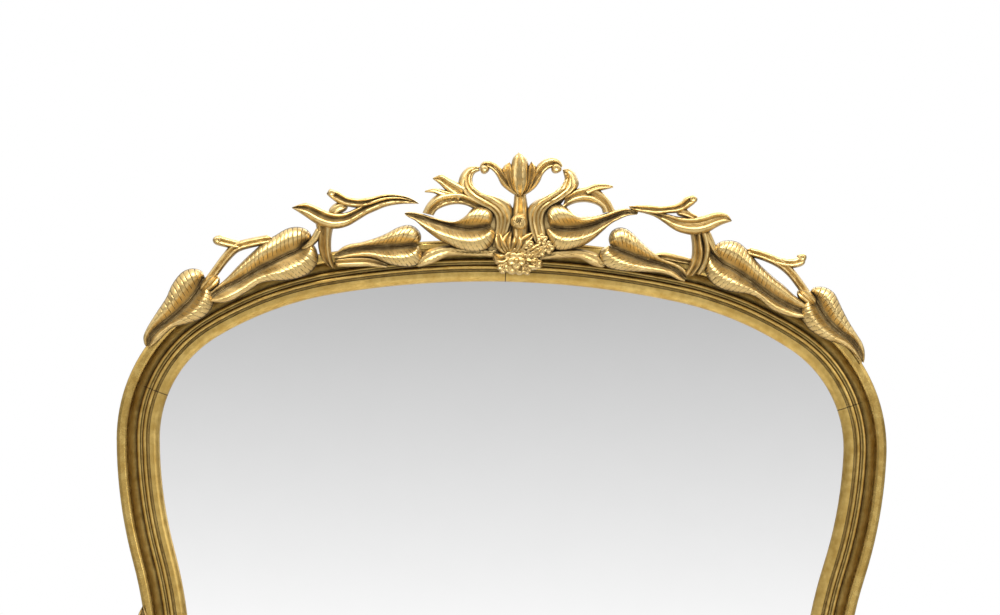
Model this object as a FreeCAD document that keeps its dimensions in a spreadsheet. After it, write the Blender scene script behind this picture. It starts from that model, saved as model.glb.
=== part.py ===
# Overmantel wall mirror with a balloon-shaped giltwood frame and a carved leaf crest.
#
# Millimetres.  X runs to the right as the mirror is seen, Z runs up, and the front faces -Y.
# The origin is the middle of the bottom edge, on the back plane of the frame (the wall plane).
# "Outward" is the distance from the sight edge, where the moulding meets the mirror, and
# "forward" is the distance in front of the back plane.

import FreeCAD, Part
import math
import os

import Sketcher
from FreeCAD import Matrix, Placement, Rotation, Vector

doc = FreeCAD.newDocument("OvermantelMirror")

# ---------------------------------------------------------------------------------------------
# Driving dimensions
# ---------------------------------------------------------------------------------------------

SIZES = [
    ("frame_width", 1400, "width over the haunches, outer edge to outer edge"),
    ("frame_height", 1455, "height of the moulded frame, without the crest"),
    ("shoulder_radius", 612, "sight edge radius beside the crown"),
    ("haunch_radius", 216, "sight edge radius at the widest place"),
    ("side_radius", 789, "sight edge radius below the haunch"),
    ("foot_radius", 500, "sight edge radius above the base corner"),
    ("corner_radius", 98, "sight edge radius of the base corner"),
    ("crown_sweep", 10.8, "turn of the crown arc, degrees"),
    ("shoulder_sweep", 21.2, "turn of the shoulder arc, degrees"),
    ("haunch_sweep", 59.4, "turn of the haunch arc, degrees"),
    ("side_sweep", 15.0, "turn of the side arc, degrees"),
    ("foot_sweep", 20.0, "turn of the foot arc, degrees"),
    ("moulding_width", 76, "sight edge to outer edge"),
    ("moulding_height", 60, "back plane to the top of the outer roll"),
    ("lip_height", 25, "front of the inner lip above the back plane"),
    ("glass_rebate", 12.5, "width of the rebate that holds the mirror plate"),
    ("board_rebate", 28, "width of the rebate that holds the back boards"),
    ("board_rebate_depth", 10, "depth of the back board rebate"),
    ("glass_thickness", 5, "mirror plate"),
    ("glass_overlap", 10, "how far the mirror plate goes behind the lip"),
    ("lip_thickness_start", 22, "face of the lip that the mirror plate rests on"),
    ("board_thickness", 8, "back boards"),
    ("board_clearance", 3, "gap between the boards and their rebate"),
    ("board_gap", 1.5, "gap between two boards"),
    ("block_length", 40, "glazing block"),
    ("block_width", 8, "glazing block"),
    ("tongue_length", 60, "loose tongue across a joint"),
    ("tongue_width", 32, "loose tongue"),
    ("tongue_thickness", 6, "loose tongue"),
    ("tongue_start", 12, "loose tongue, forward of the back plane"),
    ("joint_clearance", 0.2, "gap round a tongue, pin or screw"),
    ("screw_radius", 2, "shank of the wood screws"),
    ("screw_head_radius", 3.6, "head of the wood screws"),
    ("screw_head_height", 1.6, "head of the wood screws"),
    ("screw_length", 18, "wood screw under its head"),
    ("leaf_thickness", 14, "carving that lies on the frame"),
    ("middle_thickness", 12, "carving on the first layer"),
    ("front_thickness", 10, "carving on the middle layer"),
    ("pin_radius", 1.5, "ornament pin"),
    ("pin_depth", 9, "ornament pin, into the frame and into the leaf"),
    ("recess_width", 38, "hanger recess, across"),
    ("recess_length", 74, "hanger recess, along"),
    ("recess_depth", 8.5, "hanger recess"),
    ("strap_width", 18, "hanger strap"),
    ("strap_length", 36, "hanger strap above its knuckle"),
    ("strap_thickness", 1.5, "hanger strap"),
    ("knuckle_radius", 3.6, "rolled knuckle of the hanger strap"),
    ("ring_wire_radius", 2, "wire of the hanger ring"),
    ("ring_half_width", 12, "half the ring's width, to the middle of the wire"),
    ("ring_leg", 9, "straight leg of the hanger ring"),
]

sheet = doc.addObject("Spreadsheet::Sheet", "Sizes")
for row, (alias, value, note) in enumerate(SIZES, start=1):
    sheet.set("A%d" % row, note)
    sheet.set("B%d" % row, str(value))
    sheet.setAlias("B%d" % row, alias)
doc.recompute()


def size(alias):
    """The value of one driving dimension."""
    return float(sheet.get(alias))


MOULDING_WIDTH = size("moulding_width")
MOULDING_HEIGHT = size("moulding_height")
CLEARANCE = size("joint_clearance")
LEFT = -1
RIGHT = 1

# ---------------------------------------------------------------------------------------------
# The sight edge: tangent arcs from the middle of the crown down to the middle of the base.
# A heading is the direction of travel in degrees, 0 to the right and 90 straight down, and the
# outward normal of the edge stands at the same angle from the vertical.
# ---------------------------------------------------------------------------------------------

OUTWARD = 1
INWARD = -1
STRAIGHT_DOWN = 90
ALONG_BASE = 180


def sine(heading):
    return math.sin(math.radians(heading))


def cosine(heading):
    return math.cos(math.radians(heading))


def sight_arcs():
    """(name, radius, first heading, last heading, bulge) of each arc of the right-hand half."""
    crown_end = size("crown_sweep")
    shoulder_end = crown_end + size("shoulder_sweep")
    haunch_end = shoulder_end + size("haunch_sweep")
    side_end = haunch_end + size("side_sweep")
    foot_start = STRAIGHT_DOWN - size("foot_sweep")
    shoulder = size("shoulder_radius")
    haunch = size("haunch_radius")
    side = size("side_radius")
    foot = size("foot_radius")
    corner = size("corner_radius")

    half_width = size("frame_width") / 2 - MOULDING_WIDTH
    shoulder_run = shoulder * (sine(shoulder_end) - sine(crown_end))
    haunch_run = haunch * (1 - sine(shoulder_end))
    crown = (half_width - shoulder_run - haunch_run) / sine(crown_end)

    crown_drop = crown * (1 - cosine(crown_end))
    shoulder_drop = shoulder * (cosine(crown_end) - cosine(shoulder_end))
    haunch_drop = haunch * (cosine(shoulder_end) - cosine(haunch_end))
    side_drop = side * (cosine(haunch_end) - cosine(side_end))
    foot_drop = foot * cosine(foot_start)
    fixed_drop = crown_drop + shoulder_drop + haunch_drop + side_drop + foot_drop + corner
    waist_drop = size("frame_height") - 2 * MOULDING_WIDTH - fixed_drop
    waist = waist_drop / (cosine(foot_start) - cosine(side_end))

    return [
        ("crown", crown, 0, crown_end, OUTWARD),
        ("shoulder", shoulder, crown_end, shoulder_end, OUTWARD),
        ("haunch", haunch, shoulder_end, haunch_end, OUTWARD),
        ("side", side, haunch_end, side_end, OUTWARD),
        ("waist", waist, side_end, foot_start, INWARD),
        ("foot", foot, foot_start, STRAIGHT_DOWN, OUTWARD),
        ("corner", corner, STRAIGHT_DOWN, ALONG_BASE, OUTWARD),
    ]


class PathPiece:
    """One arc of the sight edge, with its place and its distance from the crown."""

    def __init__(self, name, radius, first, last, bulge, start, distance):
        self.name = name
        self.radius = radius
        self.first = first
        self.last = last
        self.bulge = bulge
        self.centre = (start[0] - bulge * radius * sine(first), start[1] - bulge * radius * cosine(first))
        self.distance = distance
        self.length = radius * math.radians(abs(last - first))

    def point(self, heading, outward):
        reach = self.bulge * (self.radius + self.bulge * outward)
        return (self.centre[0] + reach * sine(heading), self.centre[1] + reach * cosine(heading))

    def heading_at(self, distance):
        share = (distance - self.distance) / self.length
        return self.first + share * (self.last - self.first)

    def distance_at(self, heading):
        return self.distance + self.length * (heading - self.first) / (self.last - self.first)


def walk_path():
    pieces = []
    place = (0, size("frame_height") - MOULDING_WIDTH)
    distance = 0
    for name, radius, first, last, bulge in sight_arcs():
        piece = PathPiece(name, radius, first, last, bulge, place, distance)
        pieces.append(piece)
        place = piece.point(last, 0)
        distance += piece.length
    return pieces


PATH = walk_path()
ARC = {piece.name: piece for piece in PATH}
ARC_LENGTH = sum(piece.length for piece in PATH)
BASE_HALF = PATH[-1].point(ALONG_BASE, 0)[0]


class Station:
    """A place on the sight edge, with the outward normal and the direction of travel."""

    def __init__(self, side, distance):
        self.side = side
        self.distance = distance
        if distance > ARC_LENGTH:
            self.heading = ALONG_BASE
            here = (BASE_HALF - (distance - ARC_LENGTH), MOULDING_WIDTH)
        else:
            piece = [p for p in PATH if p.distance <= distance][-1]
            self.heading = piece.heading_at(distance)
            here = piece.point(self.heading, 0)
        self.here = (side * here[0], here[1])
        self.normal = (side * sine(self.heading), cosine(self.heading))
        self.travel = (side * cosine(self.heading), -sine(self.heading))

    def at(self, along, outward):
        """The (X, Z) point that lies so far along and outward from the sight edge here."""
        x = self.here[0] + along * self.travel[0] + outward * self.normal[0]
        z = self.here[1] + along * self.travel[1] + outward * self.normal[1]
        return (x, z)


# ---------------------------------------------------------------------------------------------
# Building helpers
# ---------------------------------------------------------------------------------------------

made = []


def new_body(name):
    body = doc.addObject("PartDesign::Body", name)
    body.Label = name
    made.append(body)
    return body


def origin_plane(body, role):
    return [f for f in body.Origin.OriginFeatures if f.Role == role][0]


def front_sketch(body, name, forward=0.0, forward_size=None):
    """A sketch whose axes are X and Z, on a plane parallel to the wall."""
    sketch = body.newObject("Sketcher::SketchObject", name)
    sketch.AttachmentSupport = [(origin_plane(body, "XZ_Plane"), "")]
    sketch.MapMode = "FlatFace"
    sketch.AttachmentOffset = Placement(Vector(0, 0, forward), Rotation())
    if forward_size:
        sketch.setExpression("AttachmentOffset.Base.z", forward_size)
    return sketch


def flat(point):
    return Vector(point[0], point[1], 0)


def space(point, forward):
    return Vector(point[0], -forward, point[1])


def station_frame(station, along, outward, forward):
    """A placement with X outward, Y forward and Z along the direction of travel."""
    x, z = station.at(along, outward)
    nx, nz = station.normal
    tx, tz = station.travel
    hand = station.side
    # Forward is -Y, and the third axis keeps the frame right-handed on both sides.
    matrix = Matrix(nx, 0, hand * tx, x, 0, -1, 0, -forward, nz, 0, hand * tz, z, 0, 0, 0, 1)
    return Placement(matrix)


def path_edges(side, first_distance, last_distance, outward):
    """Sketch arcs along the path between two distances from the crown."""
    edges = []
    for piece in PATH:
        start = max(first_distance, piece.distance)
        end = min(last_distance, piece.distance + piece.length)
        if end - start < 0.01:
            continue
        headings = [piece.heading_at(d) for d in (start, (start + end) / 2, end)]
        points = [piece.point(a, outward) for a in headings]
        first, middle, last = [Vector(side * x, z, 0) for x, z in points]
        edges.append((piece.name, Part.Arc(first, middle, last)))
    return edges


def bind_radius(sketch, index, name, alias):
    geometry = sketch.Geometry[index]
    number = sketch.addConstraint(Sketcher.Constraint("Radius", index, geometry.Radius))
    sketch.renameConstraint(number, name)
    sketch.setExpression("Constraints." + name, alias)


def cut_box(body, name, placement, lengths):
    """Take a box out of a body.  The box is centred on the placement in X and Z."""
    box = body.newObject("PartDesign::SubtractiveBox", name)
    box.Length, box.Width, box.Height = lengths
    shift = Placement(Vector(-lengths[0] / 2, 0, -lengths[2] / 2), Rotation())
    box.AttachmentSupport = [(origin_plane(body, "XY_Plane"), "")]
    box.MapMode = "FlatFace"
    box.AttachmentOffset = placement.multiply(shift)
    body.Tip = box
    return box


def cut_bore(body, name, point, first, last, radius, radius_size=None):
    """Bore a hole parallel to Y, from one distance forward of the wall to another."""
    bore = body.newObject("PartDesign::SubtractiveCylinder", name)
    bore.Radius = radius
    bore.Height = last - first
    if radius_size:
        bore.setExpression("Radius", radius_size)
    bore.AttachmentSupport = [(origin_plane(body, "XY_Plane"), "")]
    bore.MapMode = "FlatFace"
    bore.AttachmentOffset = Placement(space(point, first), Rotation(Vector(1, 0, 0), 90))
    body.Tip = bore
    return bore


def rod(name, point, first, last, radius):
    """A round bar parallel to Y, as a plain shape."""
    return Part.makeCylinder(radius, last - first, space(point, first), Vector(0, -1, 0))


def group_node(name, solids):
    """Identical small pieces that share one node as separate solids."""
    node = doc.addObject("Part::Feature", name)
    node.Label = name
    node.Shape = Part.makeCompound(solids)
    node.Placement = Placement()
    made.append(node)
    return node


# ---------------------------------------------------------------------------------------------
# The moulding section: outward from the sight edge, forward of the back plane
# ---------------------------------------------------------------------------------------------

SEAT_END = MOULDING_WIDTH - 6
SEAT_START = SEAT_END - 8
SEAT_MIDDLE = (SEAT_START + SEAT_END) / 2
ROLL_START = SEAT_START - 5
COVE_START = 41


def moulding_outline():
    """Corner points in order; a pair in a list is an arc's middle point and its end."""
    width = MOULDING_WIDTH
    top = MOULDING_HEIGHT
    lip = size("lip_height")
    rest = size("lip_thickness_start")
    glass = size("glass_rebate")
    board = size("board_rebate")
    depth = size("board_rebate_depth")
    return [
        (0, rest),
        (0, lip),
        [(4.5, lip + 8), (15, lip + 12)],
        (17.5, lip + 12),
        (18.5, lip + 8),
        (22, lip + 8),
        (23, lip + 14),
        [(26, lip + 17), (29, lip + 14)],
        (31, lip + 9),
        (34, lip + 9),
        [(37, lip + 13), (40, lip + 9)],
        (COVE_START, lip + 6),
        [((COVE_START + ROLL_START) / 2 + 1, (lip + top) / 2 - 4.5), (ROLL_START, top - 6)],
        [(ROLL_START + 2.2, top - 1.8), (SEAT_START, top)],
        (SEAT_END, top),
        [(width - 1.8, top - 3), (width, top - 9)],
        (width, 0),
        (board, 0),
        (board, depth),
        (glass, depth),
        (glass, rest),
    ]


def draw_outline(sketch, outline):
    """Draw a closed outline of straight lines and arcs."""
    previous = outline[0]
    for step in outline[1:] + outline[:1]:
        if isinstance(step, list):
            middle, end = step
            sketch.addGeometry(Part.Arc(flat(previous), flat(middle), flat(end)))
        else:
            end = step
            sketch.addGeometry(Part.LineSegment(flat(previous), flat(end)))
        previous = end


def profile_sketch(body, station):
    """The moulding section, standing across the path at one station."""
    sketch = body.newObject("Sketcher::SketchObject", "section")
    sketch.AttachmentSupport = [(origin_plane(body, "XY_Plane"), "")]
    sketch.MapMode = "FlatFace"
    sketch.AttachmentOffset = station_frame(station, 0, 0, 0)
    draw_outline(sketch, moulding_outline())
    return sketch


# ---------------------------------------------------------------------------------------------
# Frame members, joined end to end by loose tongues
# ---------------------------------------------------------------------------------------------

SHOULDER_JOINT_HEADING = 70
SHOULDER_JOINT = ARC["haunch"].distance_at(SHOULDER_JOINT_HEADING)
STILE_JOINT = ARC["foot"].distance
RAIL_ARM = 120
RAIL_JOINT = ARC_LENGTH + RAIL_ARM
BASE_MIDDLE = ARC_LENGTH + BASE_HALF

NAMED_RADII = {
    "shoulder": "Sizes.shoulder_radius",
    "haunch": "Sizes.haunch_radius",
    "side": "Sizes.side_radius",
    "foot": "Sizes.foot_radius",
    "corner": "Sizes.corner_radius",
}


def frame_member(name, side, first, last):
    """Sweep the moulding along the path from one joint to the next."""
    body = new_body(name)
    path = body.newObject("Sketcher::SketchObject", "path")
    path.AttachmentSupport = [(origin_plane(body, "XZ_Plane"), "")]
    path.MapMode = "FlatFace"
    names = []
    for arc_name, edge in path_edges(side, first, last, 0):
        path.addGeometry(edge)
        names.append(arc_name)
    if last > ARC_LENGTH:
        start = Station(side, max(first, ARC_LENGTH)).here
        end = Station(side, last).here
        path.addGeometry(Part.LineSegment(flat(start), flat(end)))
        names.append("base")
    for index, arc_name in enumerate(names):
        if arc_name in NAMED_RADII:
            bind_radius(path, index, arc_name + "_radius", NAMED_RADII[arc_name])
    section = profile_sketch(body, Station(side, first))
    doc.recompute()
    pipe = body.newObject("PartDesign::AdditivePipe", "moulding")
    pipe.Profile = section
    pipe.Spine = (path, ["Edge%d" % (i + 1) for i in range(len(names))])
    body.Tip = pipe
    doc.recompute()
    return body


def bottom_rail():
    body = new_body("bottom_rail")
    half = BASE_HALF - RAIL_ARM
    path = body.newObject("Sketcher::SketchObject", "path")
    path.AttachmentSupport = [(origin_plane(body, "XZ_Plane"), "")]
    path.MapMode = "FlatFace"
    path.addGeometry(Part.LineSegment(Vector(half, MOULDING_WIDTH, 0), Vector(-half, MOULDING_WIDTH, 0)))
    section = profile_sketch(body, Station(RIGHT, RAIL_JOINT))
    doc.recompute()
    pipe = body.newObject("PartDesign::AdditivePipe", "moulding")
    pipe.Profile = section
    pipe.Spine = (path, ["Edge1"])
    body.Tip = pipe
    doc.recompute()
    return body


SIDE_NAMES = {LEFT: "left", RIGHT: "right"}
members = {}
for side, side_name in SIDE_NAMES.items():
    members["arch", side] = frame_member("arch_" + side_name, side, 0, SHOULDER_JOINT)
    members["stile", side] = frame_member("stile_" + side_name, side, SHOULDER_JOINT, STILE_JOINT)
    members["corner", side] = frame_member("base_corner_" + side_name, side, STILE_JOINT, RAIL_JOINT)
rail = bottom_rail()


def member_at(side, distance):
    """The frame member that a place on the path belongs to."""
    if distance < SHOULDER_JOINT:
        return members["arch", side]
    if distance < STILE_JOINT:
        return members["stile", side]
    if distance < RAIL_JOINT:
        return members["corner", side]
    return rail


def tongue_joints():
    """(station, the two members) of every joint of the frame."""
    joints = [(Station(RIGHT, 0), members["arch", LEFT], members["arch", RIGHT])]
    for side in SIDE_NAMES:
        joints.append((Station(side, SHOULDER_JOINT), members["arch", side], members["stile", side]))
        joints.append((Station(side, STILE_JOINT), members["stile", side], members["corner", side]))
        joints.append((Station(side, RAIL_JOINT), members["corner", side], rail))
    return joints


tongues = []
tongue_outward = MOULDING_WIDTH - 10 - size("tongue_width") / 2
for number, (station, first_member, second_member) in enumerate(tongue_joints()):
    lengths = (size("tongue_width"), size("tongue_thickness"), size("tongue_length"))
    slot_lengths = [length + 2 * CLEARANCE for length in lengths]
    place = station_frame(station, 0, tongue_outward, size("tongue_start"))
    slot_place = station_frame(station, 0, tongue_outward, size("tongue_start") - CLEARANCE)
    for member in (first_member, second_member):
        cut_box(member, "tongue_slot_%d" % number, slot_place, slot_lengths)
    tongue = Part.makeBox(*lengths, Vector(-lengths[0] / 2, 0, -lengths[2] / 2))
    tongue.Placement = place
    tongues.append(tongue)
group_node("joint_tongues", tongues)

# ---------------------------------------------------------------------------------------------
# Mirror plate, glazing blocks and back boards
# ---------------------------------------------------------------------------------------------


def sheet_outline(sketch, outward):
    """The closed outline of the frame's opening, moved outward by a given distance."""
    base = MOULDING_WIDTH - outward
    sketch.addGeometry(Part.LineSegment(Vector(BASE_HALF, base, 0), Vector(-BASE_HALF, base, 0)))
    for side in SIDE_NAMES:
        for name, edge in path_edges(side, 0, ARC_LENGTH, outward):
            sketch.addGeometry(edge)


def flat_sheet(name, outward, forward, thickness_alias):
    """A sheet of the opening's shape.  Its front face stands at the given distance forward."""
    body = new_body(name)
    sketch = front_sketch(body, "outline", forward - size(thickness_alias))
    sheet_outline(sketch, outward)
    doc.recompute()
    pad = body.newObject("PartDesign::Pad", "sheet")
    pad.Profile = sketch
    pad.setExpression("Length", "Sizes." + thickness_alias)
    body.Tip = pad
    doc.recompute()
    return body


GLASS_FRONT = size("lip_thickness_start")
GLASS_BACK = GLASS_FRONT - size("glass_thickness")
BOARD_FRONT = size("board_rebate_depth")
BOARD_BACK = BOARD_FRONT - size("board_thickness")
BOARD_EDGE = size("board_rebate") - size("board_clearance")
flat_sheet("mirror_plate", size("glass_overlap"), GLASS_FRONT, "glass_thickness")

BLOCK_SPACING = 260
blocks = []
for side in SIDE_NAMES:
    for number in range(int(BASE_MIDDLE / BLOCK_SPACING)):
        station = Station(side, BLOCK_SPACING * (number + 0.5))
        lengths = (size("block_width"), GLASS_BACK - BOARD_FRONT, size("block_length"))
        block = Part.makeBox(*lengths, Vector(-lengths[0] / 2, 0, -lengths[2] / 2))
        outward = size("glass_overlap") - size("block_width") / 2
        block.Placement = station_frame(station, 0, outward, BOARD_FRONT)
        blocks.append(block)
group_node("glazing_blocks", blocks)

BOARD_NAMES = ["back_board_" + place for place in ("bottom", "lower", "middle", "upper", "top")]
BOARD_SCREW_SHARES = (0.22, 0.7)
SCREW_OUTWARD = (size("glass_rebate") + size("board_rebate")) / 2 - 1
boards_bottom = MOULDING_WIDTH - BOARD_EDGE
boards_top = size("frame_height") - MOULDING_WIDTH + BOARD_EDGE
board_height = (boards_top - boards_bottom) / len(BOARD_NAMES)


def distance_at_height(height, outward):
    """Distance along the path of the place that stands at a given height."""
    for piece in PATH:
        reach = piece.bulge * (piece.radius + piece.bulge * outward)
        turn = (height - piece.centre[1]) / reach
        if abs(turn) <= 1:
            heading = math.degrees(math.acos(turn))
            low, high = sorted((piece.first, piece.last))
            if low <= heading <= high:
                return piece.distance_at(heading)
    raise ValueError("no place on the path at height %.1f" % height)


def wood_screw(point, head_start):
    """A screw driven from behind, with its head at the back."""
    head_end = head_start + size("screw_head_height")
    head = rod("head", point, head_start, head_end, size("screw_head_radius"))
    shank = rod("shank", point, head_end, head_end + size("screw_length"), size("screw_radius"))
    return head.fuse(shank).removeSplitter()


board_screws = []
for index, board_name in enumerate(BOARD_NAMES):
    low = boards_bottom + index * board_height
    high = low + board_height
    board = flat_sheet(board_name, BOARD_EDGE, BOARD_FRONT, "board_thickness")
    reach = 2 * size("frame_width")
    clear = size("board_gap") / 2
    cuts = []
    if index > 0:
        cuts.append(("below", low + clear - reach / 2))
    if index < len(BOARD_NAMES) - 1:
        cuts.append(("above", high - clear + reach / 2))
    for cut_name, middle_height in cuts:
        middle = Placement(Vector(0, -BOARD_FRONT - 1, middle_height), Rotation())
        cut_box(board, cut_name, middle, (reach, size("board_thickness") + 2, reach))
    for side in SIDE_NAMES:
        for number, share in enumerate(BOARD_SCREW_SHARES):
            distance = distance_at_height(low + share * board_height, SCREW_OUTWARD)
            point = Station(side, distance).at(0, SCREW_OUTWARD)
            radius = size("screw_radius") + CLEARANCE
            hole_name = "%s_screw_%d" % (board_name, number)
            depth = BOARD_BACK + size("screw_length") + 1
            cut_bore(board, hole_name + SIDE_NAMES[side], point, 0, BOARD_FRONT + 1, radius)
            cut_bore(member_at(side, distance), hole_name, point, BOARD_FRONT - 1, depth, radius)
            board_screws.append(wood_screw(point, BOARD_BACK - size("screw_head_height")))
group_node("back_board_screws", board_screws)

# ---------------------------------------------------------------------------------------------
# Hangers: a strap with a rolled knuckle and a swinging ring, let into the back of each stile
# ---------------------------------------------------------------------------------------------

HANGER_DISTANCE = ARC["haunch"].distance_at(STRAIGHT_DOWN)
HANGER_OUTWARD = (size("board_rebate") + MOULDING_WIDTH) / 2
RECESS_ABOVE = size("strap_length") + 5
KNUCKLE_FORWARD = size("recess_depth") - size("knuckle_radius")
STRAP_SCREW_PLACES = (11, 27)


def hanger(side):
    side_name = SIDE_NAMES[side]
    station = Station(side, HANGER_DISTANCE)
    hinge = station.at(0, HANGER_OUTWARD)
    stile = members["stile", side]
    depth = size("recess_depth")
    recess_middle = hinge[1] + RECESS_ABOVE - size("recess_length") / 2
    place = Placement(Vector(hinge[0], -depth, recess_middle), Rotation())
    cut_box(stile, "hanger_recess", place, (size("recess_width"), depth + 1, size("recess_length")))

    half_strap = size("strap_width") / 2
    knuckle = size("knuckle_radius")
    wire = size("ring_wire_radius")
    across = Vector(1, 0, 0)
    pivot = space(hinge, KNUCKLE_FORWARD)
    corner = Vector(hinge[0] - half_strap, -depth, hinge[1])
    plate = Part.makeBox(size("strap_width"), size("strap_thickness"), size("strap_length"), corner)
    barrel = Part.makeCylinder(knuckle, size("strap_width"), pivot - across * half_strap, across)
    bore = Part.makeCylinder(wire + CLEARANCE, size("strap_width"), pivot - across * half_strap, across)
    shape = plate.fuse(barrel).cut(bore)
    screws = []
    for number, height in enumerate(STRAP_SCREW_PLACES):
        point = (hinge[0], hinge[1] + height)
        head_start = depth - size("strap_thickness") - size("screw_head_height")
        radius = size("screw_radius") + CLEARANCE
        shape = shape.cut(rod("hole", point, 0, depth + 1, radius))
        end = head_start + size("screw_head_height") + size("screw_length") + 1
        cut_bore(stile, "strap_screw_%d" % number, point, depth - 1, end, radius)
        screws.append(wood_screw(point, head_start))
    strap = doc.addObject("Part::Feature", "hanger_strap_" + side_name)
    strap.Label = "hanger_strap_" + side_name
    strap.Shape = shape.removeSplitter()
    strap.Placement = Placement()
    made.append(strap)

    half = size("ring_half_width")
    leg = size("ring_leg")
    pin = Part.makeCylinder(wire, 2 * half + 2 * wire, pivot - across * (half + wire), across)
    down = Vector(0, 0, -1)
    left_end = pivot - across * half
    right_end = pivot + across * half
    bend = Part.Arc(left_end + down * leg, pivot + down * (leg + half), right_end + down * leg)
    edges = [
        Part.LineSegment(left_end, left_end + down * leg).toShape(),
        bend.toShape(),
        Part.LineSegment(right_end + down * leg, right_end).toShape(),
    ]
    section = Part.Wire(Part.makeCircle(wire, left_end, down))
    loop = Part.Wire(edges).makePipeShell([section], True, False)
    ring = doc.addObject("Part::Feature", "hanger_ring_" + side_name)
    ring.Label = "hanger_ring_" + side_name
    ring.Shape = pin.fuse(loop).removeSplitter()
    ring.Placement = Placement()
    made.append(ring)
    return screws


group_node("hanger_screws", hanger(LEFT) + hanger(RIGHT))

# ---------------------------------------------------------------------------------------------
# Carved ornament.  Each carving is drawn beside a station of the path, in millimetres along the
# frame (away from the crown) and outward from the outer edge, and lies in one of three layers:
# on the frame's flat seat, on the first layer, or on the middle one.
# ---------------------------------------------------------------------------------------------

LAYERS = {
    "leaf": ("Sizes.moulding_height", "Sizes.leaf_thickness"),
    "middle": ("Sizes.moulding_height + Sizes.leaf_thickness", "Sizes.middle_thickness"),
    "front": (
        "Sizes.moulding_height + Sizes.leaf_thickness + Sizes.middle_thickness",
        "Sizes.front_thickness",
    ),
}
LAYER_START = {
    "leaf": MOULDING_HEIGHT,
    "middle": MOULDING_HEIGHT + size("leaf_thickness"),
    "front": MOULDING_HEIGHT + size("leaf_thickness") + size("middle_thickness"),
}
OUTLINE_STEPS = 10
BASE_ROUNDING = 0.16
TIP_ROUNDING = 0.1


def spine_curve(points):
    curve = Part.BSplineCurve()
    curve.interpolate([flat(p) for p in points])
    return curve


def end_rounding(share, reach):
    """Rises from 0 to 1 like a quarter circle over the first part of a stroke."""
    if share >= reach:
        return 1.0
    return math.sqrt(1 - (1 - share / reach) ** 2)


def leaf(points, left, right, left_taper=0.6, right_taper=0.6):
    """A leaf with a fat rounded base that narrows to its tip.  Left and right are half widths."""

    def widths(share):
        start = end_rounding(share, BASE_ROUNDING)
        end = end_rounding(1 - share, TIP_ROUNDING)
        return (
            left * start * end * (1.02 - share) ** left_taper * 1.15,
            right * start * end * (1.02 - share) ** right_taper * 1.15,
        )

    return (points, widths)


def blade(points, root, belly, tip, belly_at=0.5):
    """A strap-like stroke; root, belly and tip are half widths."""

    def widths(share):
        if share < belly_at:
            blend = share / belly_at
            first, second = root, belly
        else:
            blend = (share - belly_at) / (1 - belly_at)
            first, second = belly, tip
        smooth = blend * blend * (3 - 2 * blend)
        half = first + (second - first) * smooth
        ends = end_rounding(share, BASE_ROUNDING / 2) * end_rounding(1 - share, BASE_ROUNDING / 2)
        return (half * ends, half * ends)

    return (points, widths)


def disc(middle, radius):
    """A round boss."""
    return (middle, radius)


def stroke_outline(station, stroke):
    """The closed curve round one stroke, as sketch geometry."""
    points, widths = stroke
    if isinstance(widths, (int, float)):
        middle = station.at(points[0], MOULDING_WIDTH + points[1])
        return Part.Circle(flat(middle), Vector(0, 0, 1), widths)
    curve = spine_curve(points)
    first, last = curve.FirstParameter, curve.LastParameter
    left_side, right_side = [], []
    steps = OUTLINE_STEPS + 2 * len(points)
    for step in range(1, steps):
        share = 0.5 - 0.5 * math.cos(math.pi * step / steps)
        place = first + share * (last - first)
        here = curve.value(place)
        direction = curve.tangent(place)[0]
        left, right = widths(share)
        left_side.append((here.x - direction.y * left, here.y + direction.x * left))
        right_side.append((here.x + direction.y * right, here.y - direction.x * right))
    ring = [points[0]] + left_side + [points[-1]] + right_side[::-1]
    outline = Part.BSplineCurve()
    outline.interpolate([flat(station.at(x, MOULDING_WIDTH + y)) for x, y in ring], PeriodicFlag=True)
    return outline


def carving(name, side, distance, layer, strokes, pins=()):
    """One carved piece, pinned to the frame at each given distance along the path."""
    body = new_body(name)
    station = Station(side, distance)
    start_size, thickness_size = LAYERS[layer]
    for number, stroke in enumerate(strokes):
        sketch = front_sketch(body, "stroke_%d" % number, LAYER_START[layer], start_size)
        sketch.addGeometry(stroke_outline(station, stroke))
        doc.recompute()
        pad = body.newObject("PartDesign::Pad", "carved_%d" % number)
        pad.Profile = sketch
        pad.setExpression("Length", thickness_size)
        body.Tip = pad
        doc.recompute()
    for number, along in enumerate(pins):
        pin_joint(body, station, along, number)
    return body


ornament_pins = []


def pin_joint(body, station, along, number):
    """A pin between the frame's flat seat and the leaf that lies on it."""
    here = Station(station.side, station.distance + along)
    point = here.at(0, SEAT_MIDDLE)
    start = MOULDING_HEIGHT - size("pin_depth")
    end = MOULDING_HEIGHT + size("pin_depth")
    hole = size("pin_radius") + CLEARANCE
    names = (body.Label, number)
    cut_bore(body, "pin_hole_%d" % number, point, MOULDING_HEIGHT - 1, end + CLEARANCE, hole)
    member = member_at(here.side, here.distance)
    cut_bore(member, "%s_pin_%d" % names, point, start - CLEARANCE, MOULDING_HEIGHT + 1, hole)
    ornament_pins.append(rod("pin", point, start, end, size("pin_radius")))


# Places of the groups of carving, as distances from the middle of the crown along the path.
CROWN = 0
INNER_LEAF_LEFT = 233
INNER_LEAF_RIGHT = 349
SPRAY_LEFT = 456
SPRAY_RIGHT = 488
LOWEST_LEAF_LEFT = 609
LOWEST_LEAF_RIGHT = 590
SIDE_SPRAY = ARC["waist"].distance + 170
BASE_CORNER = ARC["corner"].distance + ARC["corner"].length / 2

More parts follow.
